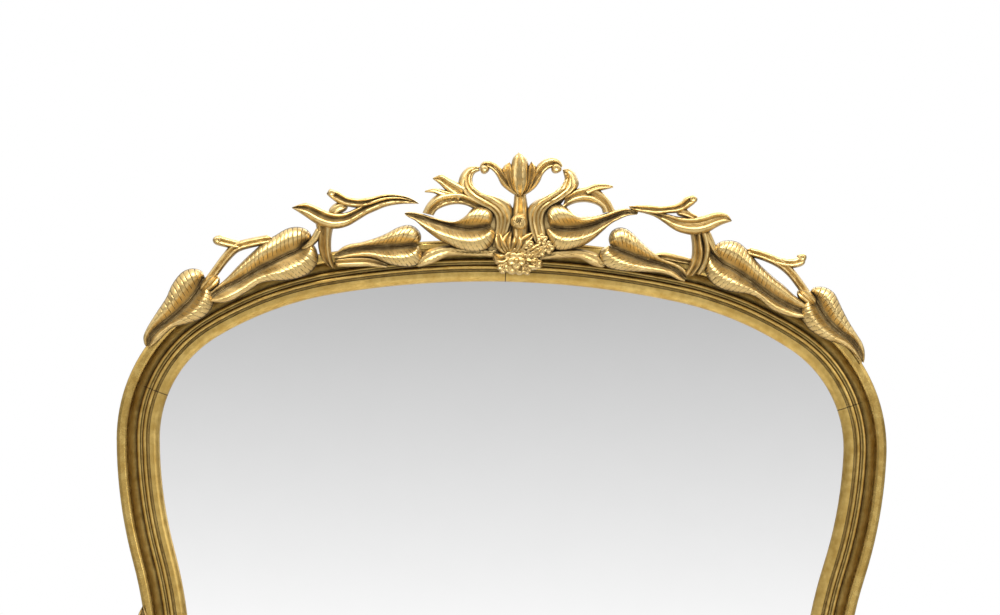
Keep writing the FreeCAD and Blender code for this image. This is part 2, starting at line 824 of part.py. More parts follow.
# Centre of the crest: stem, flower, boss and posy.
carving("crest_stem", RIGHT, CROWN, "leaf", [blade([(23, 95), (23, 27), (22, -40)], 9, 12, 12)], [23])
carving(
    "crest_flower",
    RIGHT,
    CROWN,
    "middle",
    [
        blade([(25, 77), (22, 117), (20, 158)], 10, 31, 9, 0.55),
        blade([(18, 86), (-8, 101), (-20, 119), (-33, 135), (-45, 135)], 8, 7, 6),
        disc((-43, 126), 9),
        blade([(32, 86), (55, 106), (68, 128), (82, 141), (92, 137)], 8, 7, 6),
        disc((86, 131), 9),
    ],
)
carving("crest_boss", RIGHT, CROWN, "front", [disc((24, 31), 13)])
carving(
    "posy_leaves",
    RIGHT,
    CROWN,
    "middle",
    [
        blade([(23, -14), (-12, 7)], 7, 9, 2),
        blade([(23, -14), (-17, -23)], 7, 9, 2),
        blade([(22, -18), (0, -48)], 7, 9, 2),
        blade([(23, -14), (56, 10)], 7, 9, 2),
        blade([(23, -15), (80, -13)], 8, 10, 3),
        blade([(23, -18), (64, -41)], 8, 10, 3),
    ],
)
carving("posy_rosette", RIGHT, CROWN, "front", [disc((20, -40), 21)])

SMALL_ROSETTES = [(46, -25), (58, -5), (76, -12), (50, -42)]
SMALL_ROSETTE_RADIUS = 8
crown_station = Station(RIGHT, CROWN)
front_end = LAYER_START["front"] + size("front_thickness")
small_rosettes = []
for along, outward in SMALL_ROSETTES:
    point = crown_station.at(along, MOULDING_WIDTH + outward)
    small_rosettes.append(rod("rosette", point, LAYER_START["front"], front_end, SMALL_ROSETTE_RADIUS))
group_node("posy_small_rosettes", small_rosettes)

# Heart-shaped leaves and scrolls beside the stem.
carving(
    "heart_leaf_left",
    LEFT,
    CROWN,
    "leaf",
    [leaf([(17, 21), (103, 15), (187, 45)], 42, 41, 2.2, 1.0)],
    [50, 85],
)
carving(
    "heart_leaf_right",
    RIGHT,
    CROWN,
    "leaf",
    [leaf([(68, 27), (152, 26), (194, 46), (238, 58)], 45, 42, 1.5, 1.3)],
    [88, 112],
)
carving(
    "scroll_left",
    LEFT,
    CROWN,
    "middle",
    [
        blade([(-12, 27), (2, 54), (27, 68), (53, 78), (74, 94), (79, 112), (67, 126)], 8.5, 11, 4, 0.4),
        blade([(64, 67), (92, 85), (110, 99), (134, 108)], 7, 11, 1.5),
        blade([(82, 76), (113, 77), (150, 84)], 6, 8, 1.5, 0.45),
        blade([(40, 62), (77, 72), (109, 70), (133, 58), (145, 42)], 7, 9, 6),
    ],
)
carving(
    "scroll_right",
    RIGHT,
    CROWN,
    "middle",
    [
        blade([(35, 28), (49, 57), (74, 72), (96, 85), (114, 100), (118, 114), (110, 125)], 8.5, 11, 4, 0.45),
        blade([(103, 80), (136, 94), (161, 98), (190, 100)], 7, 8, 1.5),
        blade([(82, 63), (118, 77), (150, 83), (174, 73), (191, 53)], 7, 10, 6),
    ],
)

# Small leaves on stalks, either side of the centre.
carving(
    "inner_leaf_left",
    LEFT,
    INNER_LEAF_LEFT,
    "leaf",
    [
        leaf([(-84, -10), (-4, -4), (74, -11)], 33, 36, 1.0, 0.9),
        blade([(-74, -30), (-112, -37), (-145, -24)], 7, 8, 3),
    ],
    [-50, 0],
)
carving(
    "inner_leaf_right",
    RIGHT,
    INNER_LEAF_RIGHT,
    "leaf",
    [
        leaf([(-187, -20), (-109, -23), (-16, -39)], 38, 31, 0.9, 0.7),
        blade([(-176, -36), (-202, -46), (-227, -41)], 7, 8, 3),
    ],
    [-150, -100],
)

# Long leaves, the posts that rise from them and the blades that the posts carry.
carving(
    "long_leaf_left",
    LEFT,
    SPRAY_LEFT,
    "leaf",
    [leaf([(-146, 16), (-31, 1), (62, -9)], 40, 46, 0.65, 0.7)],
    [-90, -20],
)
carving(
    "post_left",
    LEFT,
    SPRAY_LEFT,
    "middle",
    [
        blade([(-179, 35), (-159, 6), (-153, -23), (-158, -53)], 8, 8.5, 3),
        blade([(-176, 34), (-157, 21), (-130, 10)], 7, 7, 7),
    ],
)
carving(
    "swept_blade_left",
    LEFT,
    SPRAY_LEFT,
    "front",
    [
        blade(
            [(-133, 80), (-176, 41), (-199, 25), (-225, 23), (-260, 30), (-299, 28), (-347, -2)],
            1.5,
            14,
            1.5,
            0.33,
        )
    ],
)
carving(
    "short_blade_left",
    LEFT,
    SPRAY_LEFT,
    "middle",
    [
        blade([(-203, 77), (-216, 71), (-226, 53), (-246, 43), (-279, 39)], 3, 7.5, 3),
        blade([(-241, 44), (-224, 42), (-207, 37)], 7, 7, 7),
    ],
)
carving(
    "sprig_left",
    LEFT,
    SPRAY_LEFT,
    "middle",
    [
        blade([(-76, 41), (-36, 51), (-10, 53), (14, 43), (64, 15)], 6, 7.5, 7),
        blade([(-22, 52), (0, 68), (18, 82)], 7, 8, 9),
    ],
)
carving(
    "lowest_leaf_left",
    LEFT,
    LOWEST_LEAF_LEFT,
    "leaf",
    [leaf([(-124, -1), (-71, -2), (31, -4)], 38, 38, 0.35, 0.9)],
    [-80, -30],
)

carving(
    "long_leaf_right",
    RIGHT,
    SPRAY_RIGHT,
    "leaf",
    [leaf([(-168, 14), (-58, -11), (30, -6)], 41, 40, 0.55, 0.75)],
    [-100, -40],
)
carving(
    "post_right",
    RIGHT,
    SPRAY_RIGHT,
    "middle",
    [
        blade([(-200, 36), (-188, 17), (-177, -1), (-171, -27), (-171, -53)], 8, 9, 4),
        blade([(-192, 36), (-176, 27), (-148, 12)], 7, 7, 7),
    ],
)
carving(
    "swept_blade_right",
    RIGHT,
    SPRAY_RIGHT,
    "front",
    [
        blade(
            [(-327, 9), (-271, 20), (-247, 21), (-218, 30), (-195, 45), (-178, 67), (-155, 77)],
            1.5,
            14,
            1.5,
            0.66,
        )
    ],
)
carving(
    "short_blade_right",
    RIGHT,
    SPRAY_RIGHT,
    "middle",
    [
        blade([(-330, 8), (-294, 25), (-264, 39), (-247, 56), (-230, 80)], 3, 7, 8),
        blade([(-264, 39), (-248, 42), (-229, 38)], 6, 6, 6),
    ],
)
carving(
    "sprig_right",
    RIGHT,
    LOWEST_LEAF_RIGHT,
    "middle",
    [
        blade([(-235, -17), (-206, 0), (-176, 12), (-152, 14), (-116, 10), (-80, 2)], 6, 7, 7),
        blade([(-188, 8), (-166, 23), (-156, 36), (-153, 50)], 7, 8, 9),
    ],
)
carving(
    "lowest_leaf_right",
    RIGHT,
    LOWEST_LEAF_RIGHT,
    "leaf",
    [leaf([(-88, 14), (-30, 0), (62, -4)], 31, 34, 0.55, 0.7)],
    [-60, -10],
)

# Foliage at the waist and at the base corners, the same on both sides.
for side, side_name in SIDE_NAMES.items():
    carving(
        "side_leaf_upper_" + side_name,
        side,
        SIDE_SPRAY,
        "leaf",
        [leaf([(94, 0), (10, 4), (-72, 2)], 30, 36)],
        [0, 60],
    )
    carving(
        "side_leaf_lower_" + side_name,
        side,
        SIDE_SPRAY,
        "leaf",
        [leaf([(100, 2), (190, 10), (268, 16)], 36, 34)],
        [130, 180],
    )
    carving(
        "side_curl_" + side_name,
        side,
        SIDE_SPRAY,
        "middle",
        [
            blade([(97, -28), (97, 20), (112, 46), (134, 48)], 9, 11, 6),
            disc((132, 40), 9),
        ],
    )
    carving(
        "corner_leaf_upper_" + side_name,
        side,
        BASE_CORNER,
        "leaf",
        [leaf([(-4, -16), (-80, -32), (-150, -76)], 24, 28)],
        [-40],
    )
    carving(
        "corner_leaf_lower_" + side_name,
        side,
        BASE_CORNER,
        "leaf",
        [leaf([(4, -18), (80, -44), (150, -92)], 20, 24)],
        [40],
    )
    carving("corner_rosette_" + side_name, side, BASE_CORNER, "middle", [disc((0, -16), 19)])

group_node("ornament_pins", ornament_pins)

# ---------------------------------------------------------------------------------------------
# Check every object, then write each piece to its own file
# ---------------------------------------------------------------------------------------------

doc.recompute()
for item in doc.Objects:
    for state in ("Invalid", "Error"):
        if state in item.State:
            raise RuntimeError("%s is %s" % (item.Label, state))
for node in made:
    if node.Shape.isNull() or not node.Shape.isValid():
        raise RuntimeError("%s has no valid shape" % node.Label)

os.makedirs("parts", exist_ok=True)
for node in made:
    node.Shape.exportStep("parts/%s.step" % node.Label)
print("%d nodes, %d solids" % (len(made), sum(len(node.Shape.Solids) for node in made)))
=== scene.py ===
# %% [markdown]
# # A gilded overmantel mirror with a carved crest
#
# The object is a tall wall mirror.  Its frame is a wooden moulding, bent into a balloon shape by
# joining arcs, covered with chalk ground and gold leaf.  A spray of leaves, straps and a tulip,
# cut from wood and gilded too, lies on top of the frame.
#
# The frame, the glass, the back boards and the hanging hardware are exact solids, so they stay as
# they are loaded and only get their finishes here.  The carvings come as flat slabs, and this
# lesson replaces each of them with a sculpted piece of the same outline.

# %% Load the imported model
import math

import bmesh
import bpy
import numpy as np
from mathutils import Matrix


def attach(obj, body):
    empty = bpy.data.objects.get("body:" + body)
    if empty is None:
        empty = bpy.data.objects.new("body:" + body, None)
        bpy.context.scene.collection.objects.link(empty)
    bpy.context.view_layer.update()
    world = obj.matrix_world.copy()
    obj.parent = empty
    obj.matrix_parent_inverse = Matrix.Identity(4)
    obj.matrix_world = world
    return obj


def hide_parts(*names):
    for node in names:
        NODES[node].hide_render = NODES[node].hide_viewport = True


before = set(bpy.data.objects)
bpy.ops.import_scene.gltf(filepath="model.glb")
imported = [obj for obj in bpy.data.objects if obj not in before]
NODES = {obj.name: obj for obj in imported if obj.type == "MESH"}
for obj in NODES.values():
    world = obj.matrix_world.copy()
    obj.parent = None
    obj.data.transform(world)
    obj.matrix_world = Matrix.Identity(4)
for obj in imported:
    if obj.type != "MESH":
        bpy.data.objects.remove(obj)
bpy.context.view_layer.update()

# %% [markdown]
# ## Where things are
#
# Two maps place every carving.  The first walks along the sight edge, which is the line where the
# frame meets the glass: seven arcs that meet without a corner.  A place is then a distance from
# the crown, and a carving can be drawn beside it, along the frame and outward from its edge.  The
# second map turns a pixel of the photograph into metres, because the crest was hand carved and
# its left and right sides differ, so most outlines are read from the photograph.

# %% The sight edge as seven arcs
MM = 0.001
MOULDING_WIDTH = 76 * MM
CROWN_HEIGHT = 1379 * MM
# Radius in millimetres, first and last heading in degrees, and 1 for a bulge or -1 for a waist.
SIGHT_ARCS = [
    (1669.5, 0, 10.8, 1),
    (612, 10.8, 32, 1),
    (216, 32, 91.4, 1),
    (789, 91.4, 106.4, 1),
    (849.4, 106.4, 70, -1),
    (500, 70, 90, 1),
    (98, 90, 180, 1),
]
HAUNCH, WAIST, CORNER = 2, 4, 6  # places in that list


def direction(heading):
    return np.array([math.sin(math.radians(heading)), math.cos(math.radians(heading))])


def walk_sight_edge():
    """Each arc with its centre and its distance from the crown."""
    walk, place, distance = [], np.array([0.0, CROWN_HEIGHT]), 0.0
    for radius, first, last, bulge in SIGHT_ARCS:
        reach = bulge * radius * MM
        centre = place - reach * direction(first)
        walk.append((reach, first, last, centre, distance))
        place = centre + reach * direction(last)
        distance += radius * MM * math.radians(abs(last - first))
    return walk


SIGHT_EDGE = walk_sight_edge()


def at_heading(arc, heading):
    """The distance from the crown where an arc of the edge has the given heading."""
    reach, first, _, _, start = SIGHT_EDGE[arc]
    return start + abs(reach) * math.radians(abs(heading - first))


WAIST_START = at_heading(WAIST, 106.4)
CORNER_MIDDLE = at_heading(CORNER, 135)
print("the waist starts %.3f m from the crown" % WAIST_START)

# %% Places beside the sight edge
LEFT, RIGHT = -1, 1


def station(side, distance):
    """A point on the sight edge with its outward and its onward direction, as (X, Z)."""
    reach, first, last, centre, start = [arc for arc in SIGHT_EDGE if arc[4] <= distance][-1]
    turn = math.degrees((distance - start) / abs(reach))
    heading = first + turn * (1 if last > first else -1)
    outward = direction(heading)
    onward = np.array([outward[1], -outward[0]])
    mirror = np.array([side, 1])
    return (centre + reach * outward) * mirror, outward * mirror, onward * mirror


def beside_frame(side, distance, points):
    """Millimetres along the frame and outward from its outer edge, as (X, Z) in metres."""
    origin, outward, onward = station(side, distance)
    grid = np.array(points, float) * MM
    return origin + grid[:, :1] * onward + (grid[:, 1:] + MOULDING_WIDTH) * outward


print("the left waist starts at", station(LEFT, WAIST_START)[0].round(3))

# %% The photograph as a map
PHOTO_WIDTH, PHOTO_HEIGHT = 1000, 615
PIXEL = 1.400 / 770  # the frame is 1.40 m wide over its haunches, which span 770 pixels
PHOTO_TILT = math.radians(1.3)  # the object leans clockwise in the photograph
PHOTO_PIVOT = np.array([501.5, 450.0])
FLOOR_ROW = 590.0  # rows from the pivot down to the foot of the frame
FLOWER_TIP = (519, 153)


def from_photo(points):
    """Pixels of the photograph, as (X, Z) in metres."""
    across, down = (np.array(points, float).reshape(-1, 2) - PHOTO_PIVOT).T
    x = math.cos(PHOTO_TILT) * across + math.sin(PHOTO_TILT) * down
    z = FLOOR_ROW - (math.cos(PHOTO_TILT) * down - math.sin(PHOTO_TILT) * across)
    return np.stack([x, z], axis=1) * PIXEL


def photo_spot(pixel):
    return from_photo([pixel])[0]


print("the flower's tip is at", photo_spot(FLOWER_TIP).round(3))

# %% [markdown]
# ## The camera
#
# A long lens flattens a catalogue picture of a mirror.  The camera stands 8 m away and level, and
# rolls by the lean of the photograph.  Its lens makes 1000 pixels cover the same width as there.

# %% Camera
CAMERA_DISTANCE = 8.0
MEAN_RELIEF = 0.05  # the photograph's scale holds on the plane through the moulding
SENSOR = 36.0
middle = photo_spot((PHOTO_WIDTH / 2, PHOTO_HEIGHT / 2))
camera_data = bpy.data.cameras.new("camera")
camera_data.sensor_width = SENSOR
camera_data.lens = SENSOR * CAMERA_DISTANCE / (PHOTO_WIDTH * PIXEL)
camera_data.clip_end = 100
camera = bpy.data.objects.new("camera", camera_data)
camera.location = (middle[0], -MEAN_RELIEF - CAMERA_DISTANCE, middle[1])
camera.rotation_euler = (math.radians(90), -PHOTO_TILT, 0)
bpy.context.scene.collection.objects.link(camera)
bpy.context.scene.camera = camera
bpy.context.scene.view_settings.view_transform = "Standard"
print("lens %.1f mm, looking at" % camera_data.lens, middle.round(3))

# %% [markdown]
# ## Smooth lines and closed skins
#
# Every carving is a skin of rings.  A carver draws a line on the wood, cuts down on both sides
# and rounds what is left, so a stroke is a line with a width and a height at each place.  Rings of
# points across that line, joined by quads and capped at both ends, make a closed solid.  Heights
# are measured forward from the wall, which is along -Y.

# %% A smooth line through points
SAMPLES_PER_POINT = 24


def smooth_line(points, count, shares=None):
    """Points at even distances, or at the given shares, along a smooth curve."""
    points = np.array(points, float)
    steps = np.maximum(np.linalg.norm(np.diff(points, axis=0), axis=1), 1e-6) ** 0.5
    knots = np.concatenate([[0], np.cumsum(steps)])
    slopes = np.diff(points, axis=0) / steps[:, None]
    tangents = np.concatenate([slopes[:1], slopes[:1], slopes[1:]])[: len(points)]
    before, after = steps[:-1, None], steps[1:, None]
    tangents[1:-1] = (slopes[1:] * before + slopes[:-1] * after) / (before + after)
    tangents[-1] = slopes[-1]
    # Between two points runs a cubic that leaves and arrives along their tangents.
    fine = np.linspace(0, knots[-1], SAMPLES_PER_POINT * len(points))
    span = np.clip(np.searchsorted(knots, fine, side="right") - 1, 0, len(steps) - 1)
    width = steps[span][:, None]
    t = (fine[:, None] - knots[span][:, None]) / width
    line = (
        (2 * t**3 - 3 * t**2 + 1) * points[span]
        + (t**3 - 2 * t**2 + t) * width * tangents[span]
        + (3 * t**2 - 2 * t**3) * points[span + 1]
        + (t**3 - t**2) * width * tangents[span + 1]
    )
    run = np.concatenate([[0], np.cumsum(np.linalg.norm(np.diff(line, axis=0), axis=1))])
    if shares is None:
        shares = np.linspace(0, 1, count)
    wanted = np.asarray(shares) * run[-1]
    return np.stack([np.interp(wanted, run, line[:, i]) for i in range(line.shape[1])], axis=1)


def line_length(line):
    return float(np.linalg.norm(np.diff(np.array(line, float), axis=0), axis=1).sum())


def along_and_across(line):
    """Unit vectors along a line and square to it, at each of its points."""
    tangent = np.gradient(line, axis=0)
    tangent /= np.linalg.norm(tangent, axis=1)[:, None]
    return tangent, np.stack([-tangent[:, 1], tangent[:, 0]], axis=1)


def ease(value, low, high):
    """Rises smoothly from 0 at low to 1 at high."""
    share = np.clip((value - low) / (high - low), 0, 1)
    return share * share * (3 - 2 * share)


# %% A closed skin of rings
def skin(flat, height, relief):
    """Rings of flat (X, Z) points with their heights and relief values, as one closed shell."""
    rings, ring_size = height.shape
    vertices = np.stack([flat[..., 0], -height, flat[..., 1]], axis=-1).reshape(-1, 3)
    faces = []
    for i in range(rings - 1):
        for j in range(ring_size):
            k = (j + 1) % ring_size
            a, b = i * ring_size, (i + 1) * ring_size
            faces.append((a + j, a + k, b + k, b + j))
    faces.append(tuple(range(ring_size)))
    faces.append(tuple(reversed(range((rings - 1) * ring_size, rings * ring_size))))
    return vertices, faces, relief.reshape(-1)


def make_faces_outward(mesh):
    work = bmesh.new()
    work.from_mesh(mesh)
    bmesh.ops.recalc_face_normals(work, faces=work.faces)
    work.to_mesh(mesh)
    work.free()


# %% A carved piece from its shells
CARVINGS = []
SHARP_EDGE = math.radians(55)


def carve(name, *shells):
    """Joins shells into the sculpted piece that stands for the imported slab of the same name."""
    vertices, faces, relief, count = [], [], [], 0
    for shell_vertices, shell_faces, shell_relief in shells:
        vertices.append(shell_vertices)
        faces += [tuple(index + count for index in face) for face in shell_faces]
        relief.append(shell_relief)
        count += len(shell_vertices)
    mesh = bpy.data.meshes.new("carved_" + name)
    mesh.from_pydata(np.concatenate(vertices).tolist(), [], faces)
    # The relief values go into the gilding as dark wax, which also paints shade in the low places.
    values = mesh.attributes.new("relief", "FLOAT", "POINT")
    values.data.foreach_set("value", np.concatenate(relief).astype("f"))
    make_faces_outward(mesh)
    mesh.polygons.foreach_set("use_smooth", [True] * len(mesh.polygons))
    mesh.set_sharp_from_angle(angle=SHARP_EDGE)
    piece = bpy.data.objects.new("carved_" + name, mesh)
    bpy.context.scene.collection.objects.link(piece)
    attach(piece, "frame")
    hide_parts(name)
    CARVINGS.append(piece)
    print("%-24s %6d faces" % (name, len(faces)))


# %% [markdown]
# ## The leaves
#
# Each leaf has a heart-shaped base with two fat cheeks, a deep crease between them with a raised
# rib, short veins cut across the cheeks, and a tip like a shallow trough.  It could be a scan or a
# displaced plane, but a loft is closest to how it is carved: three lines, which are the midrib and
# the two edges.  A row runs from the midrib to the edge.  Because the edge starts in the notch
# and goes round the lobe, the rows fan out there, and the veins can follow them.

# %% The leaf's cheeks
LEAF_BACK = 60.2 * MM  # the flat seat on the frame's top is 60 mm from the wall
CREASE_HEIGHT = LEAF_BACK + 5 * MM
EDGE_HEIGHT = LEAF_BACK + 3.2 * MM


def cheek(share, across, width, rise, top):
    """Heights from the crease over the fat crest to the edge, with the crease's and the crest's."""
    crest_at = (0.54 + 0.14 * ease(share, 0.25, 0.9))[:, None]
    crease = CREASE_HEIGHT + 0.10 * width
    crest = np.minimum(crease + rise * width + 1.5 * MM, top * MM)
    inner = np.clip(across / crest_at, 0, 1)
    outer = np.clip((across - crest_at) / (1 - crest_at), 0, 1)
    height = np.where(
        across < crest_at,
        crease + (crest - crease) * ease(inner, 0.05, 1.06),
        EDGE_HEIGHT + (crest - EDGE_HEIGHT) * np.sqrt(1 - outer**2.0),
    )
    return height, crease, crest


# %% The leaf's veins and rib
RIB_HEIGHT = 2.0 * MM
RIB_HALF_WIDTH = 1.7 * MM
GOUGE_DEPTH = 1.3 * MM
GOUGE_FROM_RIB = 4.0 * MM
GOUGE_HALF_WIDTH = 1.8 * MM


def uneven(share, seed):
    """A small, smooth, repeatable unevenness between -1 and 1."""
    return (
        np.sin(share * 11.0 + seed * 2.1) * 0.5
        + np.sin(share * 27.0 + seed * 5.7) * 0.3
        + np.sin(share * 61.0 + seed * 3.3) * 0.2
    )


def vein_cuts(share, across, veins, seed):
    """Sharp cuts at even places along the edge, and where on the cheek they are deep."""
    slant = 0.05 * ease(share, 0.12, 0.4)[:, None] * across
    beat = veins * ((share + 0.006 * uneven(share, seed))[:, None] + slant)
    cut = np.exp(-(np.sin(math.pi * beat) ** 2) / 0.035)
    swell = np.abs(np.sin(math.pi * beat))
    where = ease(across, 0.17, 0.32) * (1 - 0.5 * ease(across, 0.9, 1.0))
    fade = (ease(share, 0.015, 0.06) * (1 - 0.6 * ease(share, 0.5, 0.75)))[:, None]
    fade = fade * (1 - ease(share, 0.93, 0.99))[:, None]
    return cut, swell, where, fade


def rib_and_gouges(share, from_rib, width):
    """The rib and the gouge cuts beside it.  They fade out where the leaf is narrow."""
    thin = (1 - 0.5 * share)[:, None]
    rib = RIB_HEIGHT * np.exp(-((from_rib / (RIB_HALF_WIDTH * thin)) ** 2))
    gouge = GOUGE_DEPTH * np.exp(-(((from_rib - GOUGE_FROM_RIB * thin) / GOUGE_HALF_WIDTH) ** 2))
    return (rib - gouge) * ease(width, 3 * MM, 9 * MM)


# %% A leaf between its midrib and two edges
LEAF_COLUMNS = 20
ROW_STEP = 1.1 * MM
FEWEST_ROWS, MOST_ROWS = 60, 260
SHORTEST_SHARE = 0.004
RIB_LEAN = 1.12  # the edge runs ahead of the midrib, so the rows lean toward the tip
WIDE_LEAF = 22 * MM  # a narrower place gets shallower veins
BACK_INSET = 1.2 * MM


def half_leaf(rib_line, edge, share, veins, rise, depth, top, seed, number):
    """One side of a leaf: flat points, heights, relief values, edge and outward unit vectors."""
    across = (np.arange(1, LEAF_COLUMNS + 1) / LEAF_COLUMNS) ** 1.15
    edge_line = smooth_line(edge, len(share), share)
    reach = edge_line - rib_line
    width = np.linalg.norm(reach, axis=1)[:, None]
    from_rib = across * width
    height, crease, crest = cheek(share, across, width, rise, top)
    cut, swell, where, fade = vein_cuts(share, across, veins, seed + number)
    wide = np.clip(width / WIDE_LEAF, 0.25, 1)
    height = height - depth * MM * wide * where * fade * (cut - 0.10 * swell)
    height = height + rib_and_gouges(share, from_rib, width)
    height = height + 0.35 * MM * uneven(across * 0.6 + share[:, None] * 3, seed + 4 * number)
    # The edge gives a little at each vein.
    nudge = 0.15 * MM * (swell - 0.6) * fade * ease(across, 0.7, 1.0)
    unit = reach / np.maximum(width, 1e-6)
    flat = rib_line[:, None] + across[None, :, None] * reach[:, None]
    flat = flat + nudge[..., None] * unit[:, None]
    # Relief values, which paint shade through the gilding: darker in the crease and on low places,
    # darker still in the vein cuts, at the rolled edge and in the gouges beside the rib.
    tone = 0.50 + 0.38 * (height - crease) / np.maximum(crest - crease, 1e-4)
    tone = tone - 0.80 * cut * where * fade - 0.45 * ease(across, 0.93, 1.0)
    tone = tone - 0.22 * np.exp(-(((from_rib - 3.8 * MM) / GOUGE_HALF_WIDTH) ** 2))
    return flat, height, tone, edge_line, unit


def leaf(midrib, left, right, veins, seed, rise=0.46, depth=1.3, lift=(0, 0), top=88.0):
    """A shell from the midrib and two edges, each from the notch to the tip, as (X, Z)."""
    longest = max(line_length(left), line_length(right))
    rows = int(np.clip(longest / ROW_STEP, FEWEST_ROWS, MOST_ROWS))
    share = np.linspace(SHORTEST_SHARE, 1 - SHORTEST_SHARE, rows)
    rib_line = smooth_line(midrib, rows, share**RIB_LEAN)
    raised = (lift[0] * (1 - share) ** 2 + lift[1] * share**2)[:, None] * MM
    sides = []
    for number, edge in enumerate((left, right)):
        sides.append(half_leaf(rib_line, edge, share, veins, rise, depth, top, seed, number))
    return close_leaf(rib_line, raised, share, sides)


def close_leaf(rib_line, raised, share, sides):
    """Joins the two halves over the rib and closes them with a flat back."""
    left_flat, left_high, left_tone, left_edge, left_unit = sides[0]
    right_flat, right_high, right_tone, right_edge, right_unit = sides[1]
    rib_high = CREASE_HEIGHT + RIB_HEIGHT * ease(share, 0, 0.06)[:, None] + raised
    rib_tone = np.full_like(rib_high, 0.55)
    back_left = left_edge - BACK_INSET * left_unit
    back_right = right_edge - BACK_INSET * right_unit
    back_flat = np.stack([back_right, rib_line, back_left], axis=1)
    back_high = np.repeat(LEAF_BACK + raised, 3, axis=1)
    back_tone = np.zeros_like(back_high)
    left_high, right_high = left_high + raised, right_high + raised
    flat = np.concatenate([left_flat[:, ::-1], rib_line[:, None], right_flat, back_flat], axis=1)
    height = np.concatenate([left_high[:, ::-1], rib_high, right_high, back_high], axis=1)
    relief = np.concatenate([left_tone[:, ::-1], rib_tone, right_tone, back_tone], axis=1)
    return skin(flat, height, np.clip(relief, 0, 1))


def photo_leaf(midrib, left, right, **shape):
    return leaf(from_photo(midrib), from_photo(left), from_photo(right), **shape)


print("each row of a leaf has", 2 * LEAF_COLUMNS + 4, "points")

# %% [markdown]
# ## Straps, stalks and rosettes
#
# A strap is a stroke with a hollow gouged along it, which leaves a rim on each side, and a stalk
# is a strap without a hollow.  A curve with a bevel would make one, but keeps one section, and
# these swell and narrow.  So a strap is a closed skin round a line with half widths, or between
# two edges.  A boss is a low dome, and a bloom is a few rings of cupped domes, as petals.

# %% A strap along a line, or between two edges
STRAP_COLUMNS = 21
END_TRIM = 0.02
THINNEST = 0.4 * MM


def strap_rows(length):
    """Shares from 0 to 1 that lie closer together at both ends."""
    rows = int(np.clip(length / (1.5 * MM), 24, 170))
    return 0.5 - 0.5 * np.cos(np.linspace(END_TRIM, math.pi - END_TRIM, rows))


def strap_skin(share, line, reach, back, top, flute=0.55, at=0.1, ribs=0, seed=0, rough=0.0):
    """A shell round a middle line.  Reach goes from the line to its first edge at each row.

    The flute is the hollow's depth as a share, and at is its place from -1 to 1.  Ribs is the
    number of fine lines along the strap, and rough the height of its bark in millimetres.
    """
    half = np.linalg.norm(reach, axis=1)[:, None]
    unit = reach / np.maximum(half, 1e-9)
    half = np.maximum(half, THINNEST)
    t = np.sin(np.linspace(-1, 1, STRAP_COLUMNS) * math.pi / 2)
    size = np.clip(half / half.max(), 0, 1) ** 0.6
    body = np.sqrt(1 - np.abs(t) ** 2.6)[None, :]
    hollow = np.exp(-(((t[None, :] - at) / 0.36) ** 2))
    lines = np.sin(math.pi * ribs * (t[None, :] + 1) / 2 + math.pi / 2) ** 2 if ribs else 0.0
    shape = body - flute * hollow * body - 0.2 * lines * body
    height = back * MM + (top - back) * MM * size * shape
    height = height + rough * MM * uneven(share[:, None] * 9 + t * 1.7, seed) * body
    height = height + 0.25 * MM * uneven(share[:, None] * 4 + t, seed + 9)
    height = np.maximum(height, back * MM + 0.3 * MM)
    flat = line[:, None] + t[None, :, None] * (half * unit)[:, None]
    # Relief values, which paint shade through the gilding: darker in the gouged hollow and at the thin
    # ends.
    tone = 0.42 + 0.50 * shape - 0.12 * (1 - size)
    inner = 0.7 * half * unit
    foot = np.stack([line + inner, line, line - inner], axis=1)
    rows = len(share)
    flat = np.concatenate([flat, foot], axis=1)
    height = np.concatenate([height, np.full((rows, 3), back * MM)], axis=1)
    relief = np.concatenate([tone, np.zeros((rows, 3))], axis=1)
    return skin(flat, height, np.clip(relief, 0, 1))


def strap(spine, halves, back, top, **shape):
    """A shell along a line of (X, Z) points, with half widths in metres at those points."""
    spine = np.array(spine, float)
    halves = np.array(halves, float)
    length = line_length(smooth_line(spine, 80))
    share = strap_rows(length)
    marks = np.concatenate([[0], np.cumsum(np.linalg.norm(np.diff(spine, axis=0), axis=1))])
    joined = smooth_line(np.stack([marks / marks[-1], halves / halves.max()], axis=1), 200)
    half = np.interp(share, joined[:, 0], joined[:, 1]) * halves.max()
    start = np.clip(share * length / np.maximum(halves[0], 1e-4), 0, 1)
    end = np.clip((1 - share) * length / np.maximum(halves[-1], 1e-4), 0, 1)
    round_end = np.sqrt(1 - (1 - start) ** 2) * np.sqrt(1 - (1 - end) ** 2)
    half = (np.maximum(half, THINNEST) * np.maximum(round_end, 0.12))[:, None]
    line = smooth_line(spine, len(share), share)
    _, normal = along_and_across(line)
    return strap_skin(share, line, half * normal, back, top, **shape)


def photo_strap(spine, halves, back, top, **shape):
    return strap(from_photo(spine), np.array(halves) * PIXEL, back, top, **shape)


def frame_strap(side, distance, spine, halves, back, top, **shape):
    return strap(beside_frame(side, distance, spine), np.array(halves) * MM, back, top, **shape)


def photo_band(edge, other_edge, back, top, **shape):
    """A shell between two edges in pixels, both drawn from the same end."""
    edge, other_edge = from_photo(edge), from_photo(other_edge)
    share = strap_rows(max(line_length(edge), line_length(other_edge)))
    first = smooth_line(edge, len(share), share)
    second = smooth_line(other_edge, len(share), share)
    reach = (first - second) / 2
    return strap_skin(share, (first + second) / 2, reach, back, top, **shape)


print("each row of a strap has", STRAP_COLUMNS + 3, "points")

# %% A boss, a petal and a bloom
FURTHEST_FORWARD = 95.6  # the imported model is 96 mm deep


